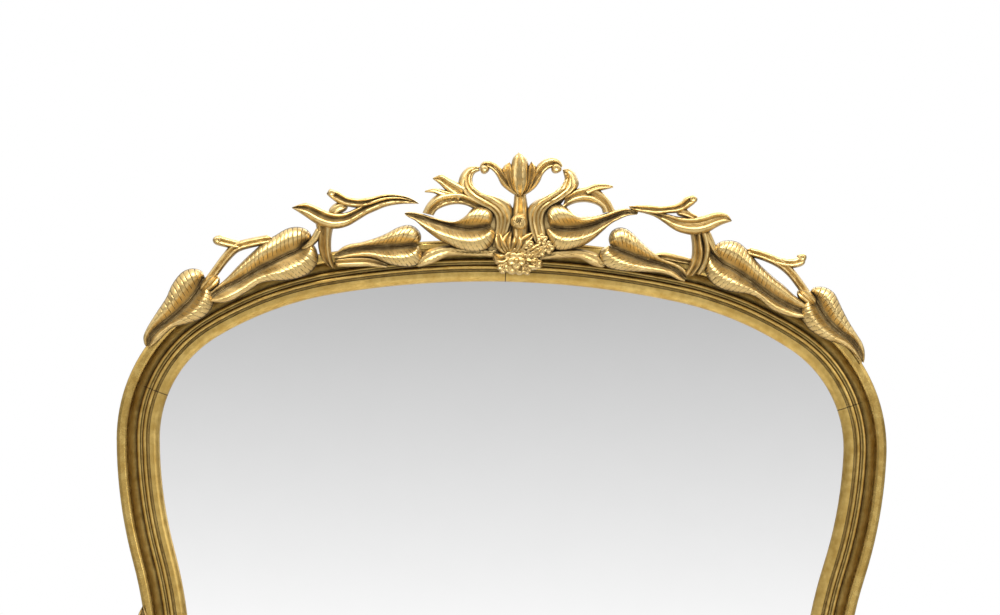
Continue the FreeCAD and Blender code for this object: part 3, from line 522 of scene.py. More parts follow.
def boss(centre, radius, back, top, cup=0.0, seed=0, dimples=0.0, tall=1.0, rings=12, around=40):
    """A round shell at an (X, Z) point.  A cup hollows its middle and leaves a rim."""
    angle = np.linspace(0, 2 * math.pi, around, endpoint=False)[None, :]
    out = (np.linspace(0.03, 1, rings) ** 0.85)[:, None]
    dome = np.sqrt(1 - np.clip(out, 0, 0.999) ** 2.6) * (1 - cup * np.exp(-((out / 0.5) ** 2)))
    speck = np.sin(out * 23 + 5 * np.cos(angle * 3 + seed)) * np.sin(angle * 5 + out * 13 + seed)
    shape = dome - dimples * speck**2 * (1 - out**4)
    spread = radius * out * (1 + 0.05 * np.sin(3 * angle + seed))
    x = centre[0] + spread * np.cos(angle)
    z = centre[1] + spread * np.sin(angle) * tall
    foot_x, foot_z = (centre[i] + 0.9 * (axis[-1:] - centre[i]) for i, axis in enumerate((x, z)))
    flat = np.concatenate([np.stack([x, z], axis=-1), np.stack([foot_x, foot_z], axis=-1)])
    height = (back + (top - back) * np.clip(shape, 0.04, 1)) * MM
    height = np.concatenate([height, np.full((1, around), back * MM)])
    # Relief values, which paint shade through the gilding: darker in the cup and towards the foot.
    tone = 0.36 + 0.6 * np.clip(shape, 0, 1)
    relief = np.concatenate([tone, np.zeros((1, around))])
    return skin(flat, height, np.clip(relief, 0, 1))


def photo_boss(centre, radius, back, top, **shape):
    return boss(photo_spot(centre), radius * PIXEL, back, top, **shape)


def bloom(centre, radius, back, top, layers, seed=0, tall=1.0):
    """Cupped petals in rings: (petal count, ring radius, petal radius, lift), as shares."""
    shells = []
    for number, (petals, ring, petal, lift) in enumerate(layers):
        for k in range(petals):
            angle = 2 * math.pi * (k + 0.5 * number) / petals + seed
            wobble = 1 + 0.08 * math.sin(5 * k + 3 * number + 7 * seed)
            place = (
                centre[0] + ring * radius * wobble * math.cos(angle),
                centre[1] + ring * radius * wobble * math.sin(angle) * tall,
            )
            low = back + (top - back) * lift
            high = min(low + (top - back) * 0.55 * wobble, FURTHEST_FORWARD)
            cup = 0.34 if petals > 1 else 0.0
            shells.append(boss(place, petal * radius, low, high, cup=cup, seed=k + seed, tall=tall))
    return shells


# %% [markdown]
# ## The long and the lowest leaves
#
# On each shoulder of the frame two leaves follow the moulding downward, the tip of the upper one
# over the notch of the lower.  Their edges are read from the photograph, each from the notch
# round its lobe to the tip.

# %% Left shoulder
carve(
    "lowest_leaf_left",
    photo_leaf(
        midrib=[
            (204, 278), (200, 288), (192, 299), (182, 309), (173, 317), (161, 326), (152, 335),
            (148, 346),
        ],
        left=[
            (205, 276), (202, 271), (193, 268.5), (183, 272), (173, 284), (166.5, 298), (157, 312.5),
            (147, 329), (144, 337), (145, 344), (147, 347),
        ],
        right=[
            (206, 279), (211, 288), (214.5, 301), (209, 313), (198, 320.5), (186, 324.5), (175, 327),
            (166, 334), (157, 343), (149.5, 348.5),
        ],
        veins=17, seed=1,
    ),
    photo_strap(
        spine=[(219, 276), (212, 282), (202, 291)],
        halves=[5, 7.5, 5], back=62, top=86, flute=0.0, ribs=3, seed=2,
    ),
)
carve(
    "long_leaf_left",
    photo_leaf(
        midrib=[
            (311, 242), (304, 245.5), (299, 250), (286, 256), (274, 262), (259, 269.5), (239, 281.5),
            (225, 288), (208, 299),
        ],
        left=[
            (312, 240), (311, 234), (306, 229), (298.5, 227), (288, 228.5), (275.5, 235.5),
            (264, 242.5), (253, 252), (239, 265.5), (225, 280), (214, 289), (205, 298),
        ],
        right=[
            (313, 243), (317, 250), (318.5, 259), (315.5, 267.5), (307.5, 275), (291, 280),
            (270, 281.5), (260, 284), (251.5, 289.5), (242.5, 295), (234, 300), (224, 303), (211, 302),
        ],
        veins=25, seed=3, lift=(0, 6),
    ),
)

# %% Right shoulder
carve(
    "lowest_leaf_right",
    photo_leaf(
        midrib=[
            (810, 293), (817.5, 305), (822.5, 314), (828.5, 322), (838.5, 331.5), (850.5, 340),
            (858, 350), (862, 362),
        ],
        left=[
            (810, 291), (812, 288.5), (815.5, 287), (822, 286.8), (828.5, 289), (834, 293.5),
            (838.5, 302), (843, 311.5), (849.5, 323.5), (856.5, 334.5), (861.5, 342.5), (864, 350.5),
            (864, 359), (863, 363),
        ],
        right=[
            (808, 293), (803, 301), (800, 311), (801.5, 319), (805.5, 325.5), (810.5, 331), (818, 336),
            (826, 340), (834.5, 342.5), (845, 347), (852.5, 353), (857.5, 358), (861, 363.5),
        ],
        veins=17, seed=5,
    ),
    photo_strap(
        spine=[(797, 291), (805, 296), (814, 305)],
        halves=[4.5, 7, 5], back=62, top=86, flute=0.0, ribs=3, seed=6,
    ),
)
carve(
    "long_leaf_right",
    photo_leaf(
        midrib=[
            (709, 251), (717.5, 259.5), (725, 265), (733, 269), (749, 279.5), (765, 292), (779, 301),
            (793, 308), (811, 314),
        ],
        left=[
            (711, 249), (714, 246), (720.5, 241.8), (728.5, 240.5), (738, 242.5), (747, 250),
            (758, 263), (770.5, 275), (784.5, 286.5), (793, 294.5), (804, 303), (812, 312),
        ],
        right=[
            (708, 253), (705, 260), (704.5, 270.5), (710.5, 282), (719.5, 288.5), (734.5, 292.5),
            (745.5, 293.8), (757, 298), (770.5, 309), (779.5, 313.5), (791, 317), (801, 318),
            (810, 316),
        ],
        veins=25, seed=7, lift=(0, 6),
    ),
)

# %% [markdown]
# ## The inner leaves and the heart leaves
#
# Nearer the middle lies a pair of leaves on a knotty stalk, and above them a pair of heart-shaped
# leaves whose tips point outward and up.  The heart leaves are smoother, with a deep dark valley,
# so they get a higher rise and shallow, closely set veins.

# %% Inner leaves
carve(
    "inner_leaf_left",
    photo_leaf(
        midrib=[(416, 245), (400, 246.5), (381, 247.5), (362, 248.5), (349, 251), (334, 256)],
        left=[
            (418.5, 243.5), (421, 240), (421, 234.5), (417.5, 229), (412, 225.6), (406, 225.2),
            (397.5, 227.7), (388.5, 232.5), (378.5, 237), (369.5, 240), (360.5, 242.4), (351, 244),
            (343, 247), (335, 254),
        ],
        right=[
            (418.5, 246), (422, 252), (422, 259), (418, 264.7), (409.5, 267), (397, 266),
            (385.5, 262.8), (376, 258.5), (365.5, 257), (352, 257.4), (340, 259), (334, 258),
        ],
        veins=19, seed=9,
    ),
    photo_strap(
        spine=[(335, 263), (352, 262), (370, 262), (388, 266)],
        halves=[4, 5, 4.5, 2], back=60.5, top=74, at=0.2, seed=10,
    ),
    photo_strap(
        spine=[(416, 265), (432, 256), (448, 251), (465, 252), (500, 253)],
        halves=[3, 7, 5.5, 4, 4], back=60.5, top=78, flute=0.0, rough=1.3, ribs=2, seed=11,
    ),
)
carve(
    "inner_leaf_right",
    photo_leaf(
        midrib=[
            (610, 246), (618.5, 250), (633.5, 256), (649, 261.3), (664, 265.2), (675.5, 270),
            (686, 279),
        ],
        left=[
            (609.5, 244), (608.5, 241), (609, 236), (612, 230.8), (618.3, 227.7), (625, 228.4),
            (632, 233), (640.5, 241.4), (649, 249), (656.5, 254.5), (664, 259), (675.5, 263),
            (683.5, 268), (687, 274),
        ],
        right=[
            (608, 245.5), (605, 247), (600.5, 250.5), (598.7, 256.7), (601.5, 263), (608.5, 268),
            (622, 271), (641, 272), (656.5, 272.8), (668, 275), (677, 279.5), (684, 282),
        ],
        veins=19, seed=13,
    ),
    photo_strap(
        spine=[(692, 262), (678, 259), (662, 256), (650, 258)],
        halves=[3, 4, 4, 2], back=60.5, top=73, at=0.2, seed=14,
    ),
    photo_strap(
        spine=[(605, 266), (594, 259), (580, 254), (560, 254), (536, 256)],
        halves=[3, 6.5, 5, 4.5, 4], back=60.5, top=77, flute=0.0, rough=1.3, ribs=2, seed=15,
    ),
)

# %% Heart leaves
carve(
    "heart_leaf_left",
    photo_leaf(
        midrib=[
            (489.5, 226), (479, 227.8), (465, 228.4), (454.5, 226.6), (444, 223.8), (430, 220),
            (419.5, 217), (404.5, 213.8),
        ],
        left=[
            (491, 225), (493.5, 218), (492.5, 212), (487.5, 207), (479, 206), (472, 209), (466, 215.5),
            (460, 219.7), (454.5, 221.3), (444, 220.3), (433, 217.3), (423, 214.2), (411, 212.2),
            (405, 213),
        ],
        right=[
            (491, 226.5), (495.5, 233), (495, 240.5), (491, 247), (484, 251), (473.5, 252.5),
            (462.5, 250.5), (451, 246), (440, 240.5), (430, 233.5), (421.5, 226.5), (415.5, 221),
            (408.5, 217.3), (405, 214.8),
        ],
        veins=22, rise=0.52, depth=0.9, seed=17, lift=(4, 8), top=90,
    ),
)
carve(
    "heart_leaf_right",
    photo_leaf(
        midrib=[
            (550.5, 227.5), (563, 228.8), (573.5, 228.7), (584, 227.3), (594.5, 224.5), (605, 220),
            (616, 215.8), (626, 212.3), (638, 213.5),
        ],
        left=[
            (549.5, 226), (547.5, 221), (546.2, 214), (547.6, 208.3), (552, 204.5), (559, 203.8),
            (566, 207), (571.5, 212), (577, 215.5), (584, 216.8), (594.5, 216), (605, 213.5),
            (616, 210), (626, 208.7), (633, 210), (638, 212.5),
        ],
        right=[
            (548.5, 228), (545.5, 230.5), (546.9, 237), (550, 244), (554.6, 249.5), (563, 250.8),
            (573.5, 249), (584, 245.5), (594.5, 238.5), (603, 231), (611, 224), (619, 219.7),
            (628, 216), (637, 214.8),
        ],
        veins=22, rise=0.52, depth=0.9, seed=19, lift=(4, 8), top=90,
    ),
)

# %% [markdown]
# ## Posts, swept blades and sprigs
#
# Two short posts rise from the leaves and carry blades that sweep like a bird's wing: a bowl with
# a gouged hollow, dark with painted shade, and a bright rim.  They stand furthest forward.  Small
# forked sprigs fill the space between the leaves.

# %% Posts
carve(
    "post_left",
    photo_band(
        edge=[(316, 224), (318, 236), (318.5, 247), (321.5, 258), (328, 266)],
        other_edge=[(334, 226), (332, 236), (331.5, 247), (332.5, 258), (335, 269)],
        back=62, top=88, flute=0.45, at=0.15, seed=21,
    ),
    photo_strap(
        spine=[(321, 228), (315, 239), (308, 246), (302, 249)],
        halves=[4, 4, 3, 1.6], back=64, top=84, flute=0.2, seed=23,
    ),
)
carve(
    "post_right",
    photo_band(
        edge=[(700.5, 231), (702.5, 244), (703.6, 254.7), (701, 265.7), (693.5, 276)],
        other_edge=[(689.5, 231), (691.4, 243.7), (691.4, 254.7), (689.2, 264.2), (684, 275)],
        back=62, top=88, flute=0.4, at=0.0, seed=25,
    ),
    photo_strap(
        spine=[(702.5, 231), (706, 243), (706.5, 254), (703, 266), (697, 274.5)],
        halves=[3.6, 3.6, 3.6, 3.4, 2.4], back=62, top=85, flute=0.0, seed=26,
    ),
    photo_strap(
        spine=[(705, 231), (710, 242), (714, 250), (720, 258)],
        halves=[4.4, 4, 3.2, 1.6], back=62, top=84, flute=0.2, seed=27,
    ),
)

# %% Swept and short blades
carve(
    "swept_blade_left",
    photo_band(
        edge=[
            (292.6, 207.6), (300, 204.6), (308, 203.2), (316, 205.7), (323.4, 209.3), (330, 212),
            (339, 213.4), (348, 212.2), (357, 208), (372, 201), (388, 197), (404, 198), (419, 203.4),
        ],
        other_edge=[
            (292.9, 208.6), (303, 215), (312, 221.2), (319, 225.7), (330, 229), (340.5, 228.6),
            (349.5, 225.8), (358.5, 220.6), (367.3, 215.2), (377, 210.8), (386, 207.2), (400, 204.6),
            (419, 204),
        ],
        back=74, top=95.5, flute=0.75, at=0.3, seed=29,
    ),
)
carve(
    "short_blade_left",
    photo_band(
        edge=[
            (327.2, 193.4), (331, 189), (338, 190.6), (347.5, 196.4), (361, 198.4), (374.3, 196.6),
            (388, 194.2), (401, 195.2), (412, 198.8), (418.9, 203.3),
        ],
        other_edge=[
            (327.6, 195.2), (333, 200), (338.6, 203.6), (346, 206.6), (359, 208.2), (370, 206.6),
            (381.4, 202.4), (392, 200.2), (405.5, 200.4), (418.9, 204),
        ],
        back=72, top=93, flute=0.6, at=0.1, seed=31,
    ),
    photo_boss(centre=(332.5, 193.6), radius=4.4, back=74, top=92, cup=0.3, seed=1),
    photo_strap(
        spine=[(331, 216), (338, 209), (348, 205)],
        halves=[5.4, 6, 4.4], back=66, top=86, flute=0.0, ribs=2, seed=32,
    ),
)
carve(
    "swept_blade_right",
    photo_band(
        edge=[
            (634, 210.6), (645, 211.6), (656, 213), (667, 214.3), (675, 216.3), (686, 217.8),
            (693.4, 217.4), (700.7, 216.2), (708, 214), (714, 212.5), (721.2, 212.4), (726.8, 214.6),
            (731, 220.6),
        ],
        other_edge=[
            (634, 211.6), (645, 214), (654, 217), (664, 223.4), (670, 227.8), (677, 231.8),
            (685, 234.2), (693.4, 235.6), (701, 234.8), (708, 232.4), (714, 228.8), (721.2, 225),
            (731, 221.6),
        ],
        back=74, top=95.5, flute=0.6, at=0.25, seed=33,
    ),
)
carve(
    "short_blade_right",
    photo_band(
        edge=[
            (628.6, 206.2), (638, 205.2), (649.3, 204.9), (660.4, 206), (667.7, 205.5), (675, 204),
            (681, 200.6), (684.8, 197.2), (689.5, 195.6), (695.4, 197),
        ],
        other_edge=[
            (629.2, 208.6), (637, 212), (646, 214), (655, 215.4), (668, 213.8), (677, 213.2),
            (684, 211), (689.5, 207.4), (694.4, 203.6), (696.4, 200),
        ],
        back=72, top=92, flute=0.5, at=0.1, seed=35,
    ),
    photo_boss(centre=(692.3, 199.6), radius=4.4, back=74, top=92, cup=0.3, seed=2),
    photo_strap(
        spine=[(676, 211), (686, 214), (697, 219)],
        halves=[4.4, 4.4, 3.4], back=66, top=86, flute=0.0, ribs=2, seed=36,
    ),
)

# %% Sprigs
SPRAY_LEFT = 456 * MM
LOWEST_LEAF_RIGHT = 590 * MM
carve(
    "sprig_left",
    frame_strap(
        LEFT, SPRAY_LEFT,
        spine=[(-78, 42), (-36, 51), (-10, 53), (14, 43), (40, 28), (66, 12)],
        halves=[9, 9, 9.5, 8.5, 8, 8], back=62, top=84, flute=0.3, at=0.0, seed=37,
    ),
    photo_boss(centre=(218.5, 240.5), radius=5, back=66, top=87, cup=0.25, seed=5),
    frame_strap(
        LEFT, SPRAY_LEFT,
        spine=[(-22, 52), (0, 68), (18, 82)],
        halves=[8.5, 9.5, 10.5], back=64, top=86, flute=0.3, at=0.0, seed=38,
    ),
)
carve(
    "sprig_right",
    frame_strap(
        RIGHT, LOWEST_LEAF_RIGHT,
        spine=[(-235, -17), (-206, 0), (-176, 12), (-152, 14), (-116, 10), (-82, 4)],
        halves=[9, 9, 9.5, 8.5, 8, 8], back=62, top=84, flute=0.3, at=0.0, seed=39,
    ),
    photo_boss(centre=(801, 258), radius=5, back=66, top=87, cup=0.25, seed=6),
    frame_strap(
        RIGHT, LOWEST_LEAF_RIGHT,
        spine=[(-188, 8), (-166, 23), (-156, 36), (-153, 50)],
        halves=[8.5, 9, 9.5, 10.5], back=64, top=86, flute=0.3, at=0.0, seed=40,
    ),
)

# %% [markdown]
# ## The scrolls and the centre
#
# A tulip with three petals stands on a short flared stem with a textured boss.  Two broad fluted
# scrolls curl up beside it, and their ends almost touch the eyes of the tulip's own curls.  Below
# hangs a posy of many-petalled flowers and folded leaves.

# %% Scrolls
carve(
    "scroll_left",
    photo_band(
        edge=[
            (479, 166.6), (470.5, 166.6), (464, 170.6), (459.8, 177), (458.4, 184), (460, 191),
            (466, 199), (475, 205), (485, 209), (492, 214.5), (494.5, 224), (493, 235), (491, 247),
        ],
        other_edge=[
            (480, 171), (474.6, 174), (472.6, 179.5), (474.3, 186), (481, 191.6), (489.5, 195),
            (498, 196.6), (505.5, 200), (511, 205), (513.6, 212.2), (512.6, 222), (508.5, 234),
            (505, 247),
        ],
        back=62, top=90, flute=0.0, ribs=4, seed=41,
    ),
    photo_band(
        edge=[(470, 198), (484, 212), (486, 228), (484, 250)],
        other_edge=[(500, 200), (514, 212), (514, 228), (514, 250)],
        back=60.4, top=72, flute=0.1, at=0.0, ribs=3, seed=42,
    ),
    photo_band(
        edge=[(422.6, 213), (426, 206), (430, 200.8), (436, 195.6), (444, 193), (460, 192), (480, 200)],
        other_edge=[
            (433.6, 215.8), (437, 210.8), (444, 207), (454.6, 204.6), (465.2, 205.4), (473, 208.8),
            (482, 213),
        ],
        back=64, top=86, flute=0.5, at=-0.2, seed=43,
    ),
    photo_band(
        edge=[(466, 186), (457, 182), (449, 178), (442, 174.6), (433, 178)],
        other_edge=[(458, 202), (451, 195.5), (445, 190), (439, 184), (433, 179.4)],
        back=66, top=86, flute=0.45, at=0.0, seed=44,
    ),
    photo_band(
        edge=[(456, 193), (444, 190), (434, 188.4), (425, 191)],
        other_edge=[(452, 200), (441, 197), (434, 193.6), (425, 192.6)],
        back=66, top=83, flute=0.2, seed=45,
    ),
)
carve(
    "scroll_right",
    photo_band(
        edge=[
            (562.4, 169.8), (568, 168.4), (573.6, 171.4), (577, 177.7), (578.8, 184), (576, 190),
            (568.5, 197), (560, 202.5), (552.5, 206.5), (547, 212), (545, 221), (547, 233), (550, 247),
        ],
        other_edge=[
            (563.5, 174.3), (564.4, 179.5), (561, 186), (554, 191.4), (545.4, 195.6), (536.8, 200),
            (530.4, 204.6), (526.6, 211), (526.4, 219), (527.4, 226), (529.5, 234), (532, 240),
            (535, 247),
        ],
        back=62, top=90, flute=0.0, ribs=4, seed=47,
    ),
    photo_band(
        edge=[(543, 198), (526.5, 212), (526, 228), (526, 250)],
        other_edge=[(566, 198), (556, 212), (555, 228), (556, 250)],
        back=60.4, top=72, flute=0.1, at=0.0, ribs=3, seed=48,
    ),
    photo_band(
        edge=[(615, 211), (610, 201), (605.6, 195.6), (598, 189.4), (588, 187), (577, 189), (566, 195)],
        other_edge=[
            (602.6, 213.4), (600.6, 208), (594, 204.2), (584.1, 202.4), (574.6, 203.6), (567, 207),
            (561, 212),
        ],
        back=64, top=86, flute=0.5, at=0.2, seed=49,
    ),
    photo_band(
        edge=[(584, 188), (594, 184), (604, 183.6), (612.5, 186)],
        other_edge=[(588, 196), (597, 192), (605, 190), (612.8, 188)],
        back=66, top=84, flute=0.3, seed=50,
    ),
)

# %% The tulip, its stem and the boss
carve(
    "crest_flower",
    photo_band(
        edge=[
            (518.4, 153), (513.4, 157.8), (511.4, 164), (509.8, 175), (511.6, 186.4), (515, 193.4),
            (519, 197),
        ],
        other_edge=[
            (519.4, 153), (524.4, 156.2), (527.8, 162.2), (529.5, 175), (528.6, 186.4), (524.4, 193.4),
            (521, 197),
        ],
        back=72, top=95.6, flute=0.0, ribs=3, seed=51,
    ),
    photo_band(
        edge=[
            (509, 162.6), (504.6, 165.6), (502, 170.2), (504.6, 178), (508, 186), (511.6, 192),
            (518, 197),
        ],
        other_edge=[
            (510.4, 163.6), (513.4, 170), (514, 178), (515, 186), (517, 192), (519, 195), (520, 197),
        ],
        back=72, top=92, flute=0.2, at=0.1, ribs=2, seed=53,
    ),
    photo_band(
        edge=[
            (531.7, 161.8), (535.6, 166.4), (536.4, 171), (534.6, 179.7), (531.2, 188.4), (527, 193.5),
            (522, 197),
        ],
        other_edge=[
            (530.4, 163), (527, 170), (526.4, 178), (525.6, 186), (523.6, 192), (521.6, 195),
            (520.4, 197),
        ],
        back=72, top=92, flute=0.2, at=0.1, ribs=2, seed=54,
    ),
    photo_band(
        edge=[
            (516, 188), (509, 180), (503.6, 171), (498.4, 165), (492.9, 162), (487.4, 160.8),
            (482, 163), (479, 168),
        ],
        other_edge=[
            (517, 197), (507, 190.4), (501.2, 185), (497.6, 178), (494.2, 172.8), (490.6, 169.6),
            (487, 168), (483, 170),
        ],
        back=68, top=88, flute=0.45, at=0.1, seed=55,
    ),
    photo_band(
        edge=[
            (524, 188), (530, 180), (535.4, 168), (540.6, 162), (546, 158.8), (552.4, 157.8),
            (559, 160), (562.8, 166),
        ],
        other_edge=[
            (523, 197), (534.4, 189), (539.8, 182), (542.6, 175.6), (546, 171.4), (549.8, 168.8),
            (554, 167.8), (559, 170),
        ],
        back=68, top=88, flute=0.45, at=-0.1, seed=56,
    ),
    photo_boss(centre=(484.6, 169.6), radius=4.7, back=70, top=92, cup=0.2, seed=1),
    photo_boss(centre=(556, 168.8), radius=5.2, back=70, top=92, cup=0.3, seed=2),
)
carve(
    "crest_stem",
    photo_band(
        edge=[(514.4, 194), (513.4, 204), (511.8, 214), (511.4, 226), (511.6, 243), (512, 262)],
        other_edge=[(525.8, 194), (527.4, 204), (528.6, 214), (528.8, 226), (528, 243), (527, 262)],
        back=60.4, top=84, flute=0.0, ribs=3, seed=57,
    ),
)
carve(
    "crest_boss",
    photo_boss(
        centre=(519.3, 221.9), radius=8.6, back=76, top=95.8, cup=0.22, seed=4, dimples=0.12, rings=22,
        around=72,
    ),
)

# %% The posy
POSY_LEAVES = [
    [(508, 254), (500, 243), (498, 231)],
    [(509, 254), (506, 243), (511, 231)],
    [(512, 254), (517, 243), (516, 232)],
    [(516, 252), (525, 241), (535, 232.5)],
    [(524, 256), (536, 250), (548, 242)],
    [(522, 262), (533, 264), (543, 265)],
    [(508, 258), (500, 259), (493, 253)],
]
POSY_LEAF_HALVES = [4, 6.4, 1.4]
posy_leaves = []
for number, spine in enumerate(POSY_LEAVES):
    top = 89 + number % 3
    posy_leaves.append(
        photo_strap(spine, POSY_LEAF_HALVES, 66, top, flute=0.45, at=0.0, seed=60 + number)
    )
carve("posy_leaves", *posy_leaves)
BIG_BLOOM = [(8, 0.66, 0.42, 0.0), (5, 0.36, 0.36, 0.24), (1, 0.0, 0.24, 0.45)]
BIG_BLOOM_PLACE = (516.5, 260.5)
BIG_BLOOM_RADIUS = 14.5 * PIXEL
carve(
    "posy_rosette",
    *bloom(photo_spot(BIG_BLOOM_PLACE), BIG_BLOOM_RADIUS, 70, 95.5, BIG_BLOOM, seed=0.3, tall=0.92),
)
SMALL_BLOOM = [(5, 0.58, 0.56, 0.1), (1, 0.0, 0.28, 0.45)]
SMALL_BLOOM_PLACES = [
    (526, 269), (531, 256.5), (539, 251.5), (536.5, 263.5),
    (541.5, 239.5), (547.5, 247.5), (529, 246), (503.5, 267),
]
small_blooms = []
for number, place in enumerate(SMALL_BLOOM_PLACES):
    radius = (5.4 + 0.5 * (number % 3)) * PIXEL
    top = 94 - number % 3
    small_blooms += bloom(photo_spot(place), radius, 72, top, SMALL_BLOOM, seed=number)
carve("posy_small_rosettes", *small_blooms)

# %% [markdown]
# ## The leaves that the photograph leaves out
#
# The photograph stops above the lower half.  It shows one leaf tip at the bottom left, so a pair
# of back-to-back leaves sits on each waist, and a corner spray on each foot, as on other frames
# of this kind.  They mirror each other, and are drawn beside the frame in millimetres.

# %% A leaf drawn from its spine
SPINE_ROWS = 40
SPRAY_VEINS = 15


def spine_leaf(side, distance, spine, left, right, seed):
    """A leaf whose lobes come from two half widths, like the slab it replaces."""
    line = smooth_line(spine, SPINE_ROWS)
    tangent, normal = along_and_across(line)
    share = np.linspace(0, 1, SPINE_ROWS)
    swell = np.sqrt(1 - (1 - np.clip(share / 0.16, 0, 1)) ** 2) * (1.02 - share) ** 0.72 * 1.1
    lobe = -0.32 * np.exp(-(((share - 0.06) / 0.07) ** 2))
    edges = []
    for half in (left, -right):
        edge = line + (half * swell)[:, None] * normal + (lobe * abs(half))[:, None] * tangent
        edge[0] = line[0]
        edge[-1] = line[-1]
        edges.append(beside_frame(side, distance, edge[::3].tolist() + [edge[-1].tolist()]))
    rib = beside_frame(side, distance, line)
    return leaf(rib, edges[0], edges[1], veins=SPRAY_VEINS, seed=seed)


# %% Waist sprays and corner sprays
SIDE_SPRAY = WAIST_START + 170 * MM
UPPER_SIDE, LOWER_SIDE = [(92, 0), (10, 4), (-74, 2)], [(102, 2), (190, 10), (270, 16)]
UPPER_CORNER, LOWER_CORNER = [(-6, -16), (-80, -32), (-152, -77)], [(6, -18), (80, -44), (152, -93)]
CURL = [(97, -30), (96, 0), (98, 22), (108, 42), (122, 50), (134, 47)]
CURL_HALVES = [9, 10, 11, 9, 7, 5]
CURL_EYE, CORNER_EYE = (131, 40), (0, -16)
for side, end in ((LEFT, "_left"), (RIGHT, "_right")):
    carve("side_leaf_upper" + end, spine_leaf(side, SIDE_SPRAY, UPPER_SIDE, 30, 36, seed=71))
    carve("side_leaf_lower" + end, spine_leaf(side, SIDE_SPRAY, LOWER_SIDE, 36, 34, seed=72))
    curl_eye = beside_frame(side, SIDE_SPRAY, [CURL_EYE])[0]
    carve(
        "side_curl" + end,
        frame_strap(side, SIDE_SPRAY, CURL, CURL_HALVES, 62, 86, flute=0.5, at=0.1, seed=73),
        boss(curl_eye, 9 * MM, 66, 88, cup=0.3, seed=3),
    )
    carve("corner_leaf_upper" + end, spine_leaf(side, CORNER_MIDDLE, UPPER_CORNER, 24, 27, seed=74))
    carve("corner_leaf_lower" + end, spine_leaf(side, CORNER_MIDDLE, LOWER_CORNER, 20, 24, seed=75))
    corner_eye = beside_frame(side, CORNER_MIDDLE, [CORNER_EYE])[0]
    carve("corner_rosette" + end, *bloom(corner_eye, 20 * MM, 62, 88, BIG_BLOOM, seed=0.4))


# %% [markdown]
# ## Tools for finishes
#
# A finish is a tree of nodes.  Effects that several finishes share are node groups: aged gilding,
# wood grain and tarnish.  A group only works out colours, masks and heights.  The shader itself
# stays in each material.


# %% Short ways to add nodes
def set_inputs(node, inputs):
    """Links each input that is given a socket, and sets the others."""
    for name, value in inputs.items():
        if isinstance(value, bpy.types.NodeSocket):
            node.id_data.links.new(value, node.inputs[name])
        else:
            node.inputs[name].default_value = value


def adder(tree):
    """A function that adds a node to the tree, and links or sets its inputs."""

    def add(kind, inputs=None, **settings):
        node = tree.nodes.new("ShaderNode" + kind)
        for name, value in settings.items():
            setattr(node, name, value)
        set_inputs(node, inputs or {})
        return node

    return add


def reckon(add, operation, first, second=0.0, third=0.0):
    node = add("Math", {0: first, 1: second}, operation=operation)
    if operation == "MULTIPLY_ADD":
        node.inputs[2].default_value = third
    return node.outputs[0]


def times(add, first, second):
    return reckon(add, "MULTIPLY", first, second)


def weighed_sum(add, first, first_weight, second, second_weight):
    return reckon(add, "ADD", times(add, first, first_weight), times(add, second, second_weight))


def spread(add, value, low, high, to_low=0.0, to_high=1.0, smooth=True):
    """Maps low..high to another range, with smooth ends."""
    kind = "SMOOTHSTEP" if smooth else "LINEAR"
    places = {"Value": value, "From Min": low, "From Max": high, "To Min": to_low, "To Max": to_high}
    return add("MapRange", places, interpolation_type=kind).outputs["Result"]


def blend_colours(add, share, first, second):
    return add("Mix", {0: share, 6: first, 7: second}, data_type="RGBA").outputs[2]


def blend_values(add, share, first, second):
    return add("Mix", {0: share, 2: first, 3: second}).outputs[0]


def noise(add, where, scale, detail=3.0, rough=0.55):
    places = {"Vector": where, "Scale": scale, "Detail": detail, "Roughness": rough}
    return add("TexNoise", places).outputs["Fac"]


def stretched(add, where, scale):
    return add("Mapping", {"Vector": where, "Scale": scale}).outputs[0]


def bump(add, height, strength, depth):
    """A surface direction that makes a height look cut in, with its depth in metres."""
    return add("Bump", {"Height": height, "Strength": strength, "Distance": depth}).outputs[0]


# %% Colours, groups and empty finishes
def paint(red, green, blue):
    """An sRGB colour from 0 to 255, as the linear colour a socket takes."""
    linear = []
    for value in (red, green, blue):
        share = value / 255
        linear.append(share / 12.92 if share <= 0.04045 else ((share + 0.055) / 1.055) ** 2.4)
    return (*linear, 1.0)


def new_group(name, inputs, outputs):
    """A node group with named sockets.  Returns it, what it is given, its end node and adder."""
    group = bpy.data.node_groups.new(name, "ShaderNodeTree")
    for label, (kind, value) in inputs.items():
        socket = group.interface.new_socket(label, in_out="INPUT", socket_type="NodeSocket" + kind)
        if value is not None:
            socket.default_value = value
    for label, kind in outputs.items():
        group.interface.new_socket(label, in_out="OUTPUT", socket_type="NodeSocket" + kind)
    start = group.nodes.new("NodeGroupInput")
    end = group.nodes.new("NodeGroupOutput")
    return group, start.outputs, end, adder(group)


def new_finish(name):
    """An empty material with its shader.  Returns the material, its adder and the shader."""
    material = bpy.data.materials.new(name)
    material.use_nodes = True
    tree = material.node_tree
    tree.nodes.clear()
    add = adder(tree)
    shader = add("BsdfPrincipled", {"Specular IOR Level": 0.3})
    add("OutputMaterial", {"Surface": shader.outputs[0]})
    return material, add, shader


def use(add, group, **inputs):
    node = add("Group", node_tree=group)
    set_inputs(node, inputs)
    return node.outputs


def count_nodes(name, tree):
    print("%s: %d nodes" % (name, len(tree.nodes)))
